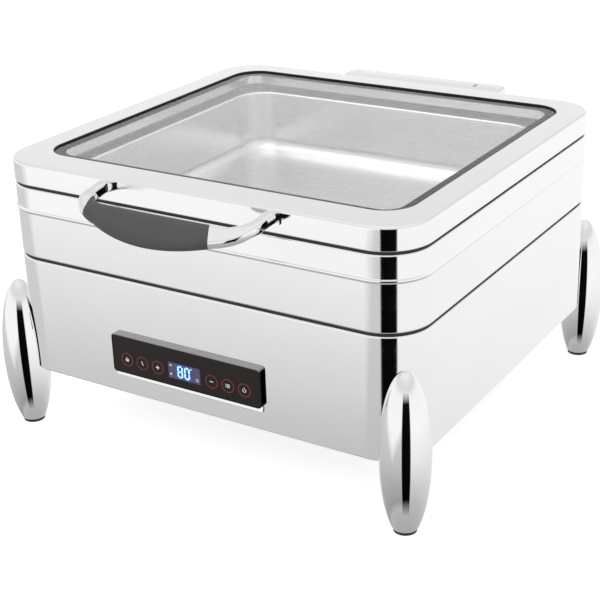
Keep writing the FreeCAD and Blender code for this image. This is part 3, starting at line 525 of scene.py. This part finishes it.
def carve(obj, cutter, keep=False):
    # takes one object's shape out of another's
    obj.modifiers.clear()
    cutting = obj.modifiers.new("carve", "BOOLEAN")
    cutting.object = cutter
    cutting.operation = "DIFFERENCE"
    cutting.solver = "EXACT"
    bpy.context.view_layer.update()
    shaped = bpy.data.meshes.new_from_object(obj.evaluated_get(bpy.context.evaluated_depsgraph_get()))
    obj.modifiers.clear()
    obj.data = shaped
    shaped.set_sharp_from_angle(angle=math.radians(35))
    if not keep:
        bpy.data.objects.remove(cutter)


def finishPiece(obj, materialName, body, replaced=(), sharp=30.0, weighted=True):
    mesh = obj.data
    if sharp is not None:
        mesh.set_sharp_from_angle(angle=math.radians(sharp))
    if weighted:
        modifier = obj.modifiers.new("normals", "WEIGHTED_NORMAL")
        modifier.keep_sharp = True
        modifier.weight = 50
    mesh.materials.clear()
    mesh.materials.append(materials[materialName])
    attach(obj, body)
    if replaced:
        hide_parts(*replaced)


def roundedLoop(width, depth, radius, x, y, z, perCorner=14):
    # a rounded rectangle as a ring of points, from the middle of its right side round by the back
    points = []
    spots = [(1, 1, 0), (-1, 1, 90), (-1, -1, 180), (1, -1, 270)]
    for sx, sy, start in spots:
        cx = x + sx * (width / 2 - radius)
        cy = y + sy * (depth / 2 - radius)
        for i in range(perCorner + 1):
            angle = math.radians(start + 90 * i / perCorner)
            points.append(Vector((cx + radius * math.cos(angle), cy + radius * math.sin(angle), z)))
    return points


def bridge(rings, closed=True, capFirst=False, capLast=False, start=0):
    # quads between neighbouring rings of equal length
    faces = []
    size = len(rings[0])
    total = len(rings)
    for k in range(total if closed else total - 1):
        a = start + k * size
        b = start + ((k + 1) % total) * size
        for i in range(size):
            j = (i + 1) % size
            faces.append((a + i, a + j, b + j, b + i))
    if capFirst:
        faces.append(tuple(start + i for i in range(size)))
    if capLast:
        faces.append(tuple(start + (total - 1) * size + i for i in range(size)))
    verts = [point for ring in rings for point in ring]
    return verts, faces


def joinMeshes(parts):
    verts, faces = [], []
    for v, f in parts:
        base = len(verts)
        verts += v
        faces += [tuple(base + i for i in face) for face in f]
    return verts, faces


def arcPoints(cx, cz, radius, fromAngle, toAngle, steps):
    # points of a fillet in a wall's section: inset from the outline, and height
    found = []
    for i in range(steps + 1):
        angle = math.radians(fromAngle + (toAngle - fromAngle) * i / steps)
        found.append((cx + radius * math.cos(angle), cz + radius * math.sin(angle)))
    return found


def sweepOutline(section, width, depth, radius, x, y, perCorner=14):
    # a closed wall section (inset, height) carried round a rounded rectangle
    return [roundedLoop(width - 2 * inset, depth - 2 * inset, max(radius - inset, 0.0005), x, y, z, perCorner)
            for inset, z in section]


# body shells
shell = {
    "cornerRadius": 40 * mm,
    "sheet": 1.5 * mm,
    "edge": 1.6 * mm,          # soft folded edges
    "flange": 30 * mm,
    "neck": 12 * mm,
    "ribOut": 0.9 * mm,
    "ribHeight": 4.5 * mm,
    "ribDrop": 22 * mm,
    "rim": (341 * mm, 313 * mm, 36 * mm),   # the opening for the pans: width, depth, corner
    "rimInset": 15 * mm,
}
outlineWidth = bodyHigh.x - bodyLow.x
outlineDepth = bodyHigh.y - bodyLow.y
middleY = bodyMiddle.y


def foldedWall(low, high, edgeLow, edgeHigh, flangeLow, flangeHigh, bead=None):
    # the section of a folded sheet wall, outside first, then back down the inside
    t = shell["sheet"]
    section = [(flangeLow, low)]
    section += arcPoints(edgeLow, low + edgeLow, edgeLow, -90, -180, 5)
    if bead:
        centre, half, out = bead
        steps = 8
        for i in range(steps + 1):
            share = i / steps
            section.append((-out * math.sin(math.pi * share) ** 1.2, centre - half + 2 * half * share))
    section += arcPoints(edgeHigh, high - edgeHigh, edgeHigh, 180, 90, 5)
    section += [(flangeHigh, high), (flangeHigh, high - t)]
    section += [(t, high - t), (t, low + t), (flangeLow, low + t)]
    return section


def buildShells():
    low, high = corners("base_housing")
    wall = foldedWall(low.z, high.z, shell["edge"], shell["edge"], shell["flange"], shell["neck"])
    rings = sweepOutline(wall, outlineWidth, outlineDepth, shell["cornerRadius"], 0, middleY)
    return addPiece("baseHousing", *bridge(rings), "wallSteel", "base", ["base_housing"])


def buildUpper():
    low, high = corners("upper_shell")
    panLow, panHigh = corners("food_pan")
    panY = (panLow.y + panHigh.y) / 2
    rimInset = shell["rimInset"]
    bead = (high.z - shell["ribDrop"], shell["ribHeight"] / 2, shell["ribOut"])
    wall = foldedWall(low.z, high.z, shell["edge"], shell["edge"], shell["neck"], rimInset, bead)
    rings = []
    for inset, z in wall:
        if abs(inset - rimInset) < 1e-9:
            rings.append(roundedLoop(*shell["rim"], 0, panY, z))
        else:
            rings.append(roundedLoop(outlineWidth - 2 * inset, outlineDepth - 2 * inset,
                                     shell["cornerRadius"] - inset, 0, middleY, z))
    return addPiece("upperShell", *bridge(rings), "wallSteel", "base", ["upper_shell"])


buildShells()
buildUpper()

# lid
lid = {
    "windowWidth": 369 * mm,
    "windowDepth": 341 * mm,
    "windowRadius": 28 * mm,
    "windowShift": 5 * mm,
    "edge": 2.6 * mm,
    "windowEdge": 0.7 * mm,
    "gasket": 0.7 * mm,
}


def buildLid():
    low, high = corners("lid_frame")
    t = shell["sheet"]
    e, w = lid["edge"], lid["windowEdge"]
    windowY = middleY + lid["windowShift"]
    outer = [(shell["neck"], low.z)] + arcPoints(1.0 * mm, low.z + 1.0 * mm, 1.0 * mm, -90, -180, 4)
    outer += arcPoints(e, high.z - e, e, 180, 90, 8)
    rings = sweepOutline(outer, outlineWidth, outlineDepth, shell["cornerRadius"], 0, middleY)
    for angle in range(0, 91, 15):
        a = math.radians(angle)
        grow = w - w * math.sin(a)
        rings.append(roundedLoop(lid["windowWidth"] + 2 * grow, lid["windowDepth"] + 2 * grow,
                                 lid["windowRadius"] + grow, 0, windowY, high.z - w + w * math.cos(a)))
    rings.append(roundedLoop(lid["windowWidth"], lid["windowDepth"], lid["windowRadius"],
                             0, windowY, high.z - t))
    inner = [(t, high.z - t), (t, low.z + t), (shell["neck"], low.z + t)]
    rings += sweepOutline(inner, outlineWidth, outlineDepth, shell["cornerRadius"], 0, middleY)
    addPiece("lidFrame", *bridge(rings), "lidSteel", "lid", ["lid_frame"])


buildLid()


def slab(name, node, radius, edge, materialName, body):
    # a flat plate with round corners and eased edges, the size of its node
    low, high = corners(node)
    x, y = (low.x + high.x) / 2, (low.y + high.y) / 2
    section = arcPoints(edge, low.z + edge, edge, -90, -180, 4)
    section += arcPoints(edge, high.z - edge, edge, 180, 90, 4)
    rings = sweepOutline(section, high.x - low.x, high.y - low.y, radius, x, y)
    addPiece(name, *bridge(rings, False, True, True), materialName, body, [node])


slab("lidGlass", "lid_glass", lid["windowRadius"] - lid["gasket"], 0.6 * mm, "lidGlass", "lid")

# pans
pan = {
    "radius": 30 * mm, "sheet": 1 * mm, "flange": 12 * mm, "floorRound": 14 * mm,
    "floorIn": 60 * mm,        # an extra ring on the floor, this far in from the round
    "bend": 2.5 * mm, "leastRound": 6 * mm,
}


def buildPan(name, node, flange, radius, materialName):
    low, high = corners(node)
    x, y = (low.x + high.x) / 2, (low.y + high.y) / 2
    t, r = pan["sheet"], pan["floorRound"]
    width, depth = high.x - low.x, high.y - low.y
    inset = flange
    outside = [(inset + r + pan["floorIn"], low.z)]
    outside += arcPoints(inset + r, low.z + r, r, -90, -180, 8)
    outside += [(inset, high.z - t), (0, high.z - t), (0, high.z)]
    bend = pan["bend"]
    inside = [(inset - bend + t, high.z)]
    inside += arcPoints(inset - bend + t, high.z - bend, bend, 90, 0, 5)
    inside += arcPoints(inset + r, low.z + r, r - t, -180, -90, 8)
    inside += [(inset + r + pan["floorIn"], low.z + t)]
    rings = []
    for far, z in outside + inside:
        corner = radius + flange - far
        rings.append(roundedLoop(width - 2 * far, depth - 2 * far, max(corner, pan["leastRound"]), x, y, z))
    addPiece(name, *bridge(rings, False, True, True), materialName, "base", [node])


buildPan("foodPan", "food_pan", pan["flange"], pan["radius"], "panSteel")

print("shells built")

# legs
leg = {
    "radius": 21.8 * mm, "half": 77 * mm, "rise": 9 * mm, "around": 96, "along": 72,
    "gap": 0.15 * mm, "footRadius": 9.9 * mm,
}


def circleRing(x, y, z, radius, count):
    return [Vector((x + radius * math.cos(2 * math.pi * k / count),
                    y + radius * math.sin(2 * math.pi * k / count), z)) for k in range(count)]


def bodyBlock(grow):
    rings = sweepOutline([(-grow, bodyLow.z), (-grow, bodyHigh.z + 60 * mm)],
                         outlineWidth, outlineDepth, shell["cornerRadius"], 0, middleY, 40)
    return meshObject("legCutter", *bridge(rings, False, True, True))


def buildLeg(node, cutter):
    low, high = corners(node)
    sx = 1 if low.x > 0 else -1
    sy = 1 if low.y > middleY else -1
    # the axis stands one radius in from the leg's two outer faces
    x = (high.x if sx > 0 else low.x) - sx * leg["radius"]
    y = (high.y if sy > 0 else low.y) - sy * leg["radius"]
    zMid = bodyLow.z + leg["rise"]
    lowest = low.z
    # the lower end turns in to the foot on a short round
    startAngle = math.asin((lowest - zMid) / leg["half"])
    turnIn = leg["radius"] * math.cos(startAngle) - leg["footRadius"]
    rings = []
    for step in range(5):
        a = math.pi / 2 * step / 5
        r = leg["footRadius"] + turnIn * math.sin(a)
        rings.append(circleRing(x, y, lowest + turnIn * (1 - math.cos(a)), r, leg["around"]))
    firstAngle = math.asin((lowest + turnIn - zMid) / leg["half"])
    for i in range(leg["along"]):
        share = i / leg["along"]
        angle = firstAngle + (math.pi / 2 - firstAngle) * share
        r = leg["radius"] * math.cos(angle)
        rings.append(circleRing(x, y, zMid + leg["half"] * math.sin(angle), r, leg["around"]))
    verts, faces = bridge(rings, False, True, False)
    tip = len(verts)
    verts.append(Vector((x, y, zMid + leg["half"])))
    last = tip - leg["around"]
    for k in range(leg["around"]):
        faces.append((last + k, last + (k + 1) % leg["around"], tip))
    name = "leg" + node[3:].title().replace("_", "")
    obj = addPiece(name, verts, faces, "legChrome", "base", [node], sharp=None, weighted=False)
    carve(obj, cutter, keep=True)
    obj.visible_glossy = False     # the walls do not mirror the legs


cutter = bodyBlock(leg["gap"])
for legNode in [n for n in frame["nodes"] if n.startswith("leg_") and n != "leg_bolts"]:
    buildLeg(legNode, cutter)
bpy.data.objects.remove(cutter)
print("legs built")

# handle
handle = {
    "middle": 1.5 * mm, "innerHalf": 79 * mm, "outerHalf": 91 * mm, "gap": 31 * mm, "reach": 59.3 * mm,
    "innerBend": 19 * mm, "thick": 11 * mm, "drop": 16 * mm, "stemDrop": 4 * mm, "groove": 0.4 * mm,
    "gripFrom": (-73 * mm, 0.19), "gripTo": (49.5 * mm, 0.53),   # where the grip ends, and each end's lean
    "round": 3.2, "around": 36,
}


def handleCurves(steps):
    # matching points of the inner and outer edge, from the left root round to the right root
    h = handle
    rise = h["reach"] - h["gap"]
    bow = (h["outerHalf"] ** 2 + rise ** 2) / (2 * rise)
    inner, outer = [], []
    stemSteps, bendSteps, midSteps = steps
    # left stem, outwards
    for i in range(stemSteps):
        v = (h["gap"] - h["innerBend"]) * i / stemSteps
        inner.append((-h["innerHalf"], v))
        outer.append((-h["outerHalf"] + 0.2 * mm * i, v * 1.05))
    # the bend: the inner edge turns on a round, the outer edge runs on to the bow
    startV = (h["gap"] - h["innerBend"]) * 1.05
    endX = -(h["innerHalf"] - h["innerBend"])
    endV = bow ** 2 - endX ** 2
    bendEnd = (endX, h["reach"] - bow + math.sqrt(endV))
    first = Vector((-h["outerHalf"] + 0.2 * mm * stemSteps, startV))
    pull = Vector((-h["outerHalf"] - 2 * mm, h["gap"] + 9 * mm))
    last = Vector(bendEnd)
    for i in range(bendSteps):
        share = i / bendSteps
        a = math.radians(180 - 90 * share)
        inner.append((-(h["innerHalf"] - h["innerBend"]) + h["innerBend"] * math.cos(a),
                      h["gap"] - h["innerBend"] + h["innerBend"] * math.sin(a)))
        spot = first * (1 - share) ** 2 + pull * 2 * share * (1 - share) + last * share ** 2
        outer.append((spot.x, spot.y))
    for i in range(midSteps + 1):
        x = endX - 2 * endX * i / midSteps
        inner.append((x, h["gap"]))
        outer.append((x, h["reach"] - bow + math.sqrt(bow ** 2 - x ** 2)))
    count = stemSteps + bendSteps
    for i in range(count - 1, -1, -1):
        inner.append((-inner[i][0], inner[i][1]))
        outer.append((-outer[i][0], outer[i][1]))
    return inner, outer


def buildHandle():
    wallY = corners("lid_frame")[0].y
    stemZ = corners("handle_bow")[1].z - handle["thick"] / 2
    inner, outer = handleCurves((8, 16, 56))

    def lift(v):
        gap, reach = handle["gap"], handle["reach"]
        if v <= gap:
            return stemZ - handle["stemDrop"] * v / gap
        return stemZ - handle["stemDrop"] - handle["drop"] * (v - gap) / (reach - gap)

    rings = []
    middleX = handle["middle"]
    for (xi, vi), (xo, vo) in zip(inner, outer):
        a = Vector((middleX + xi, wallY - vi, lift(vi)))
        b = Vector((middleX + xo, wallY - vo, lift(vo)))
        across = (b - a) / 2
        middle = (a + b) / 2
        side = Vector((0, 0, 1)) - across.normalized() * across.normalized().z
        side.normalize()
        half = handle["thick"] / 2 * (1.0 - 0.12 * min(1.0, across.length / (13 * mm)))
        ring = []
        for k in range(handle["around"]):
            angle = 2 * math.pi * k / handle["around"]
            power = 2 / handle["round"]
            c, s = math.cos(angle), math.sin(angle)
            u = math.copysign(abs(c) ** power, c)
            w = math.copysign(abs(s) ** power, s)
            ring.append(middle + across * u + side * half * w)
        rings.append(ring)
    whole = bridge(rings, False, True, True)

    def part(cuts):
        # what is left of the whole bow between leaning cuts, each end closed again
        work = bmesh.new()
        mesh = bpy.data.meshes.new("bowPart")
        mesh.from_pydata([tuple(v) for v in whole[0]], [], whole[1])
        work.from_mesh(mesh)
        bmesh.ops.recalc_face_normals(work, faces=work.faces)
        for at, lean, side in cuts:
            found = bmesh.ops.bisect_plane(
                work, geom=work.verts[:] + work.edges[:] + work.faces[:], clear_outer=True,
                plane_co=(at, wallY - handle["gap"], 0), plane_no=(side, side * lean, 0))
            edges = [item for item in found["geom_cut"] if isinstance(item, bmesh.types.BMEdge)]
            bmesh.ops.holes_fill(work, edges=edges)
        verts = [v.co.copy() for v in work.verts]
        work.verts.index_update()
        faces = [tuple(v.index for v in f.verts) for f in work.faces]
        work.free()
        bpy.data.meshes.remove(mesh)
        return verts, faces

    (start, startLean), (end, endLean), groove = handle["gripFrom"], handle["gripTo"], handle["groove"]
    bow = joinMeshes([part([(start, startLean, 1)]), part([(end, endLean, -1)])])
    addPiece("handleBow", *bow, "legChrome", "lid", ["handle_bow"], 40, False)
    grip = part([(start + groove, startLean, -1), (end - groove, endLean, 1)])
    held = addPiece("handleGrip", *grip, "gripPlastic", "lid", ["handle_grip"], 40, False)
    held.visible_glossy = False    # the lid's wall does not mirror the grip


buildHandle()
print("handle built")


# hinge cover
cover = {
    "round": 9 * mm, "wall": 2.5 * mm, "edge": 2.4 * mm, "under": 0.35 * mm, "slotHigh": 5 * mm,
    "capOut": 78 * mm, "capRadius": 3.6 * mm, "capHigh": 0.3 * mm, "adjuster": 60 * mm,
    "lugRadius": 7.5 * mm, "lugBore": 4.58 * mm, "lugStart": 24.5 * mm, "lugWide": 12 * mm,
}


def tubeAlong(x0, x1, y, z, outer, bore, steps=40):
    # a short tube on an axis along X
    rings = []
    for x, r in ((x0, outer), (x1, outer), (x1, bore), (x0, bore)):
        turns = [2 * math.pi * k / steps for k in range(steps)]
        rings.append([Vector((x, y + r * math.cos(a), z + r * math.sin(a))) for a in turns])
    return bridge(rings)


def boxOf(low, high):
    verts = [Vector((x, y, z)) for z in (low[2], high[2])
             for x, y in ((low[0], low[1]), (high[0], low[1]), (high[0], high[1]), (low[0], high[1]))]
    return verts, [(0, 1, 2, 3), (4, 5, 6, 7), (0, 1, 5, 4), (1, 2, 6, 5), (2, 3, 7, 6), (3, 0, 4, 7)]


def buildHingeCover():
    low, high = corners("hinge_cover")
    pinLow, pinHigh = corners("hinge_pin")
    x, y = (low.x + high.x) / 2, (low.y + high.y) / 2
    axisZ = (pinLow.z + pinHigh.z) / 2
    top = high.z - cover["under"]
    e, w = cover["edge"], cover["wall"]
    outside = [(0, low.z)] + arcPoints(e, top - e, e, 180, 90, 7)
    inside = [(w + 4 * mm, top - w), (w, top - w), (w, low.z)]
    width, depth = high.x - low.x, high.y - low.y
    outer = sweepOutline(outside, width, depth, cover["round"], x, y)
    inner = sweepOutline(inside, width, depth, cover["round"], x, y)
    size = len(outer[0])
    verts, faces = bridge(outer, False, False, True)
    more, extra = bridge(inner, False, True, False, start=len(verts))
    last = len(verts) + (len(inner) - 1) * size
    rim = [(i, (i + 1) % size, last + (i + 1) % size, last + i) for i in range(size)]
    parts = [(verts + more, faces + extra + rim)]
    for side in (-1, 1):
        a = side * cover["lugStart"]
        b = side * (cover["lugStart"] + cover["lugWide"])
        parts.append(tubeAlong(min(a, b), max(a, b), y, axisZ, cover["lugRadius"], cover["lugBore"]))
        parts.append(boxOf((min(a, b), y - 6 * mm, axisZ + 5 * mm), (max(a, b), y + 6 * mm, top - w)))
    obj = addPiece("hingeCover", *joinMeshes(parts), "coverSteel", "lid", ["hinge_cover"])
    cutter = meshObject("slotCutter", *boxOf((low.x + cover["round"], high.y - w - 1 * mm, low.z - 1 * mm),
                                             (high.x - cover["round"], high.y + 1 * mm,
                                              low.z - 1 * mm + cover["slotHigh"])))
    carve(obj, cutter)
    caps = []
    for spot in (-cover["capOut"], cover["capOut"]):
        rings = [circleRing(x + spot, y, top + cover["capHigh"] * rise, cover["capRadius"] * wide, 32)
                 for wide, rise in ((1.0, -0.5), (1.0, 0.5), (0.93, 0.85), (0.75, 1.0))]
        caps.append(bridge(rings, False, True, True))
    rings = []
    for wide, rise in ((1.0, -0.5), (1.0, 0.5), (0.9, 0.9)):
        ring = circleRing(0, 0, top + cover["capHigh"] * rise, 1.0, 24)
        rings.append([Vector((x + cover["adjuster"] + p.x * 1.7 * mm * wide, y + p.y * 5 * mm * wide, p.z))
                      for p in ring])
    addPiece("hingeCaps", *joinMeshes(caps), "legChrome", "lid", (), 35, False, slotOf["hinge_cover"])
    addPiece("hingeAdjuster", *bridge(rings, False, True, True), "panelFrame", "lid", (), 35, False,
             slotOf["hinge_cover"])


# control panel
panel = {
    "keyFirst": 29 * mm, "keyPitch": 17 * mm, "keyDrop": 4.3 * mm, "keyRadius": 6.3 * mm,
    "keyLine": 0.5 * mm, "fieldHalfWidth": 17 * mm, "fieldHalf": 7.6 * mm, "fieldDrop": 3 * mm,
    "proud": 0.06 * mm, "radius": 3.5 * mm, "border": 1.2 * mm, "edge": 1.0 * mm, "wall": 5 * mm,
    # the lip's section: share of its height, and how far it stands out in mm
    "lipProfile": ((0.0, 0.8), (0.08, 1.3), (0.2, 1.4), (0.6, 1.1), (1.0, 0.7), (1.15, 0.7)),
}


def plateOf(points, faceY, depth):
    # a thin raised print: an outline in X and Z with a hair's thickness
    size = len(points)
    verts = [Vector((x, faceY, z)) for x, z in points] + [Vector((x, faceY - depth, z)) for x, z in points]
    faces = [tuple(range(size)), tuple(range(size, 2 * size))]
    faces += [(i, (i + 1) % size, size + (i + 1) % size, size + i) for i in range(size)]
    return verts, faces


def ringOf(x, z, radius, line, faceY, depth, steps=48, sweep=360, start=0):
    verts, faces = [], []
    full = sweep >= 360
    count = steps if full else steps + 1
    for i in range(count):
        a = math.radians(start + sweep * i / steps)
        inner, raised = radius - line, faceY - depth
        for r, y in ((radius, faceY), (inner, faceY), (inner, raised), (radius, raised)):
            verts.append(Vector((x + r * math.cos(a), y, z + r * math.sin(a))))
    for i in range(count if full else count - 1):
        j = (i + 1) % count
        for k in range(4):
            m = (k + 1) % 4
            faces.append((4 * i + k, 4 * i + m, 4 * j + m, 4 * j + k))
    if not full:
        faces.append((0, 1, 2, 3))
        faces.append(tuple(4 * (count - 1) + k for k in range(4)))
    return verts, faces


def barOf(x, z, width, height, slant=0.0):
    return [(x - width / 2 - slant, z - height / 2), (x + width / 2 - slant, z - height / 2),
            (x + width / 2 + slant, z + height / 2), (x - width / 2 + slant, z + height / 2)]


def digitBars(digit, x, z, width, height):
    # the lit bars of a seven-bar numeral
    lit = {"8": "abcdefg", "0": "abcdef"}[digit]
    w, h, t = width / 2, height / 2, 1.5 * mm
    bars = {
        "a": barOf(x, z + h, width - t, t),
        "g": barOf(x, z, width - t, t),
        "d": barOf(x, z - h, width - t, t),
        "f": barOf(x - w, z + h / 2, t, h - t * 0.5),
        "b": barOf(x + w, z + h / 2, t, h - t * 0.5),
        "e": barOf(x - w, z - h / 2, t, h - t * 0.5),
        "c": barOf(x + w, z - h / 2, t, h - t * 0.5),
    }
    return [bars[key] for key in lit]


def frontLoop(width, height, radius, x, z, y):
    # a rounded rectangle that faces the front
    return [Vector((p.x, y, z + p.y)) for p in roundedLoop(width, height, radius, x, 0, 0, 8)]


def buildBezel():
    low, high = corners("panel_bezel")
    glassLow, glassHigh = corners("panel_glass")
    x, z = (low.x + high.x) / 2, (glassLow.z + glassHigh.z) / 2
    tall = 2 * (high.z - z)
    e = panel["edge"]
    section = [(0, high.y)]
    section += [(inset, low.y + depth) for inset, depth in arcPoints(e, e, e, 180, 270, 6)]
    section += [(panel["border"], low.y), (panel["border"], glassHigh.y), (panel["wall"], glassHigh.y),
                (panel["wall"], high.y)]
    rings = [frontLoop(high.x - low.x - 2 * inset, tall - 2 * inset,
                       max(panel["radius"] - inset, 0.8 * mm), x, z, y) for inset, y in section]
    addPiece("panelBezel", *bridge(rings), "panelFrame", "base", ["panel_bezel"])
    # the bright lip under the frame leans back as it rises; its lower corners are round
    lip = z - tall / 2 - low.z
    half = (high.x - low.x) / 2 - 0.5 * mm
    verts, faces = [], []
    for side in (-1, 1):
        for rise, out in panel["lipProfile"]:
            tuck = 2.2 * mm * max(0.0, 1 - rise * lip / (2.2 * mm)) ** 2
            for y in (high.y - out * mm, high.y):
                verts.append(Vector((x + side * (half - tuck), y, low.z + rise * lip)))
    count = len(panel["lipProfile"])
    for i in range(count - 1):
        a, b = 2 * i, 2 * (count + i)
        faces += [(a, a + 2, b + 2, b), (a, a + 1, a + 3, a + 2), (b, b + 1, b + 3, b + 2),
                  (a + 1, a + 3, b + 3, b + 1)]
    faces.append((0, 1, 2 * count + 1, 2 * count))
    faces.append((2 * count - 2, 2 * count - 1, 4 * count - 1, 4 * count - 2))
    addPiece("panelSill", verts, faces, "legChrome", "base", (), 35, False, slotOf["base_housing"])


def buildPanel():
    glassLow, glassHigh = corners("panel_glass")
    middleX = (glassLow.x + glassHigh.x) / 2
    face = glassLow.y
    midZ = (glassLow.z + glassHigh.z) / 2
    keyZ = midZ - panel["keyDrop"]
    steps = [panel["keyFirst"] + i * panel["keyPitch"] for i in range(3)]
    xs = [middleX - step for step in reversed(steps)] + [middleX + step for step in steps]
    proud = panel["proud"]
    rings = [ringOf(x, keyZ, panel["keyRadius"], panel["keyLine"], face, proud) for x in xs]
    addPiece("keyRings", *joinMeshes(rings), "keyRed", "base", (), 30, False, slotOf["touch_keys"])
    marks = []

    def stroke(points):
        marks.append(plateOf(points, face, proud))

    u = 1 * mm
    # lock with a shackle, lamp, plus, minus, menu list, power
    stroke(barOf(xs[0], keyZ - 0.6 * u, 3.4 * u, 2.2 * u))
    marks.append(ringOf(xs[0], keyZ + 0.6 * u, 1.4 * u, 0.5 * u, face, proud, 16, 180, 0))
    stroke(barOf(xs[1], keyZ, 0.9 * u, 3.6 * u, -0.8 * u))
    stroke(barOf(xs[2], keyZ, 3.6 * u, 0.9 * u))
    stroke(barOf(xs[2], keyZ + 1.15 * u, 0.9 * u, 1.3 * u))
    stroke(barOf(xs[2], keyZ - 1.15 * u, 0.9 * u, 1.3 * u))
    stroke(barOf(xs[3], keyZ, 3.6 * u, 0.9 * u))
    for row in (-1.3, 0.0, 1.3):
        stroke(barOf(xs[4] + 0.5 * u, keyZ + row * u, 3.0 * u, 0.65 * u))
        stroke(barOf(xs[4] - 1.9 * u, keyZ + row * u, 0.8 * u, 0.65 * u))
    marks.append(ringOf(xs[5], keyZ - 0.2 * u, 1.9 * u, 0.55 * u, face, proud, 24, 280, 130))
    stroke(barOf(xs[5], keyZ + 1.4 * u, 0.6 * u, 2.2 * u))
    addPiece("keyMarks", *joinMeshes(marks), "glyphWhite", "base", (), 30, False, slotOf["touch_keys"])

    lit = slotOf["display_module"]
    x0, x1 = middleX - panel["fieldHalfWidth"], middleX + panel["fieldHalfWidth"]
    fieldZ = midZ - panel["fieldDrop"]
    field = plateOf(barOf((x0 + x1) / 2, fieldZ, x1 - x0, 2 * panel["fieldHalf"]), face, proud * 0.6)
    addPiece("displayField", *field, "displayField", "base", (), 30, False, lit)
    centre = middleX - 0.6 * mm
    glow = plateOf(barOf(centre, fieldZ, 15.5 * mm, 13.4 * mm), face, proud * 0.9)
    addPiece("displayGlow", *glow, "displayDeep", "base", (), 30, False, lit)
    bars = digitBars("8", centre - 3.7 * mm, fieldZ, 4.4 * mm, 10.4 * mm)
    bars += digitBars("0", centre + 3.7 * mm, fieldZ, 4.4 * mm, 10.4 * mm)
    digits = [plateOf(points, face, proud * 1.4) for points in bars]
    digits.append(ringOf(centre + 8.2 * mm, fieldZ + 5.0 * mm, 0.9 * mm, 0.3 * mm, face, proud * 1.4, 16))
    addPiece("displayDigits", *joinMeshes(digits), "digitBlue", "base", (), 30, False, lit)
    small = [plateOf(barOf(x0 + 2.6 * mm, fieldZ + 4.6 * mm, 2.6 * mm, 1.2 * mm), face, proud * 1.2),
             plateOf(barOf(x0 + 2.6 * mm, fieldZ - 3.8 * mm, 1.8 * mm, 1.8 * mm), face, proud * 1.2),
             ringOf(x1 - 3.2 * mm, fieldZ - 4.0 * mm, 1.5 * mm, 0.5 * mm, face, proud * 1.2, 20)]
    addPiece("displayIcons", *joinMeshes(small), "glyphWhite", "base", (), 30, False, lit)


buildHingeCover()
buildBezel()
buildPanel()
print("hinge cover and panel built")

# finishes on the pieces that keep their CAD shape
finishes = {
    "satinSteel": ["bottom_plate", "heat_shield", "temperature_probe", "hinge_bracket"],
    "zincSteel": [
        "bottom_screws", "leg_bolts", "element_clamps", "inlet_screws", "bracket_screws", "hinge_pin",
        "cover_screws", "retainer_screws", "handle_screws",
    ],
    "blackRubber": [
        "seam_gasket", "lid_seal", "glass_gasket", "foot_pad_front_left", "foot_pad_front_right",
        "foot_pad_rear_left", "foot_pad_rear_right",
    ],
    "panSteel": ["water_pan", "glass_retainer", "food_pan"],
    "castAluminium": ["heating_plate"],
    "elementSteel": ["heating_element"],
    "blackPlastic": ["thermal_cutout", "panel_tray", "inlet_housing", "hinge_damper"],
    "panelFrame": ["panel_bezel"],
    "panelBlack": ["panel_glass"],
    "displayField": ["display_module"],
    "keyRed": ["touch_keys"],
    "boardGreen": ["control_board", "power_board"],
    "terminalGrey": ["board_standoffs", "terminal_block"],
    "relayBlue": ["relay"],
    "tapeYellow": ["transformer"],
    "sleeveNavy": ["capacitor"],
    "brassPins": ["inlet_pins"],
    "leadRed": ["supply_leads", "element_leads"],
    "ribbonGrey": ["ribbon_cable"],
    "lidSteel": ["hinge_cover", "handle_plate", "lid_frame"],
    "bushBronze": ["hinge_bushes"],
    "legChrome": ["handle_bow", "leg_front_left", "leg_front_right", "leg_rear_left", "leg_rear_right"],
    "gripPlastic": ["handle_grip"],
    "wallSteel": ["base_housing", "upper_shell"],
    "lidGlass": ["lid_glass"],
}
for finishName, nodeNames in finishes.items():
    for nodeName in nodeNames:
        dress(frame["nodes"][nodeName], finishName)
print("finishes on", sum(len(names) for names in finishes.values()), "of", len(frame["nodes"]), "nodes")


# floor
def makeFloor():
    mesh = bpy.data.meshes.new("floor")
    half = 6.0
    square = [(-half, -half, 0), (half, -half, 0), (half, half, 0), (-half, half, 0)]
    mesh.from_pydata(square, [], [(0, 1, 2, 3)])
    obj = bpy.data.objects.new("floor", mesh)
    scene.collection.objects.link(obj)
    finish = Finish("paleFloor")
    cloud = addNoise(finish.tree, finish.where, 3.0, 2.0, 0.5)
    node = finish.tree.nodes.new("ShaderNodeVectorMath")
    node.operation = "SCALE"
    node.inputs[0].default_value = (0.97, 0.97, 0.97)
    finish.tree.links.new(addRange(finish.tree, cloud, 0.3, 0.7, 0.99, 1.0), node.inputs["Scale"])
    finish.link(node.outputs[0], "Base Color")
    finish.set(Roughness=0.9, Specular_IOR_Level=0.1, Emission_Color=(1, 1, 1, 1), Emission_Strength=0.55)
    mesh.materials.append(finish.material)
    obj.visible_glossy = False
    obj.visible_diffuse = False


makeFloor()
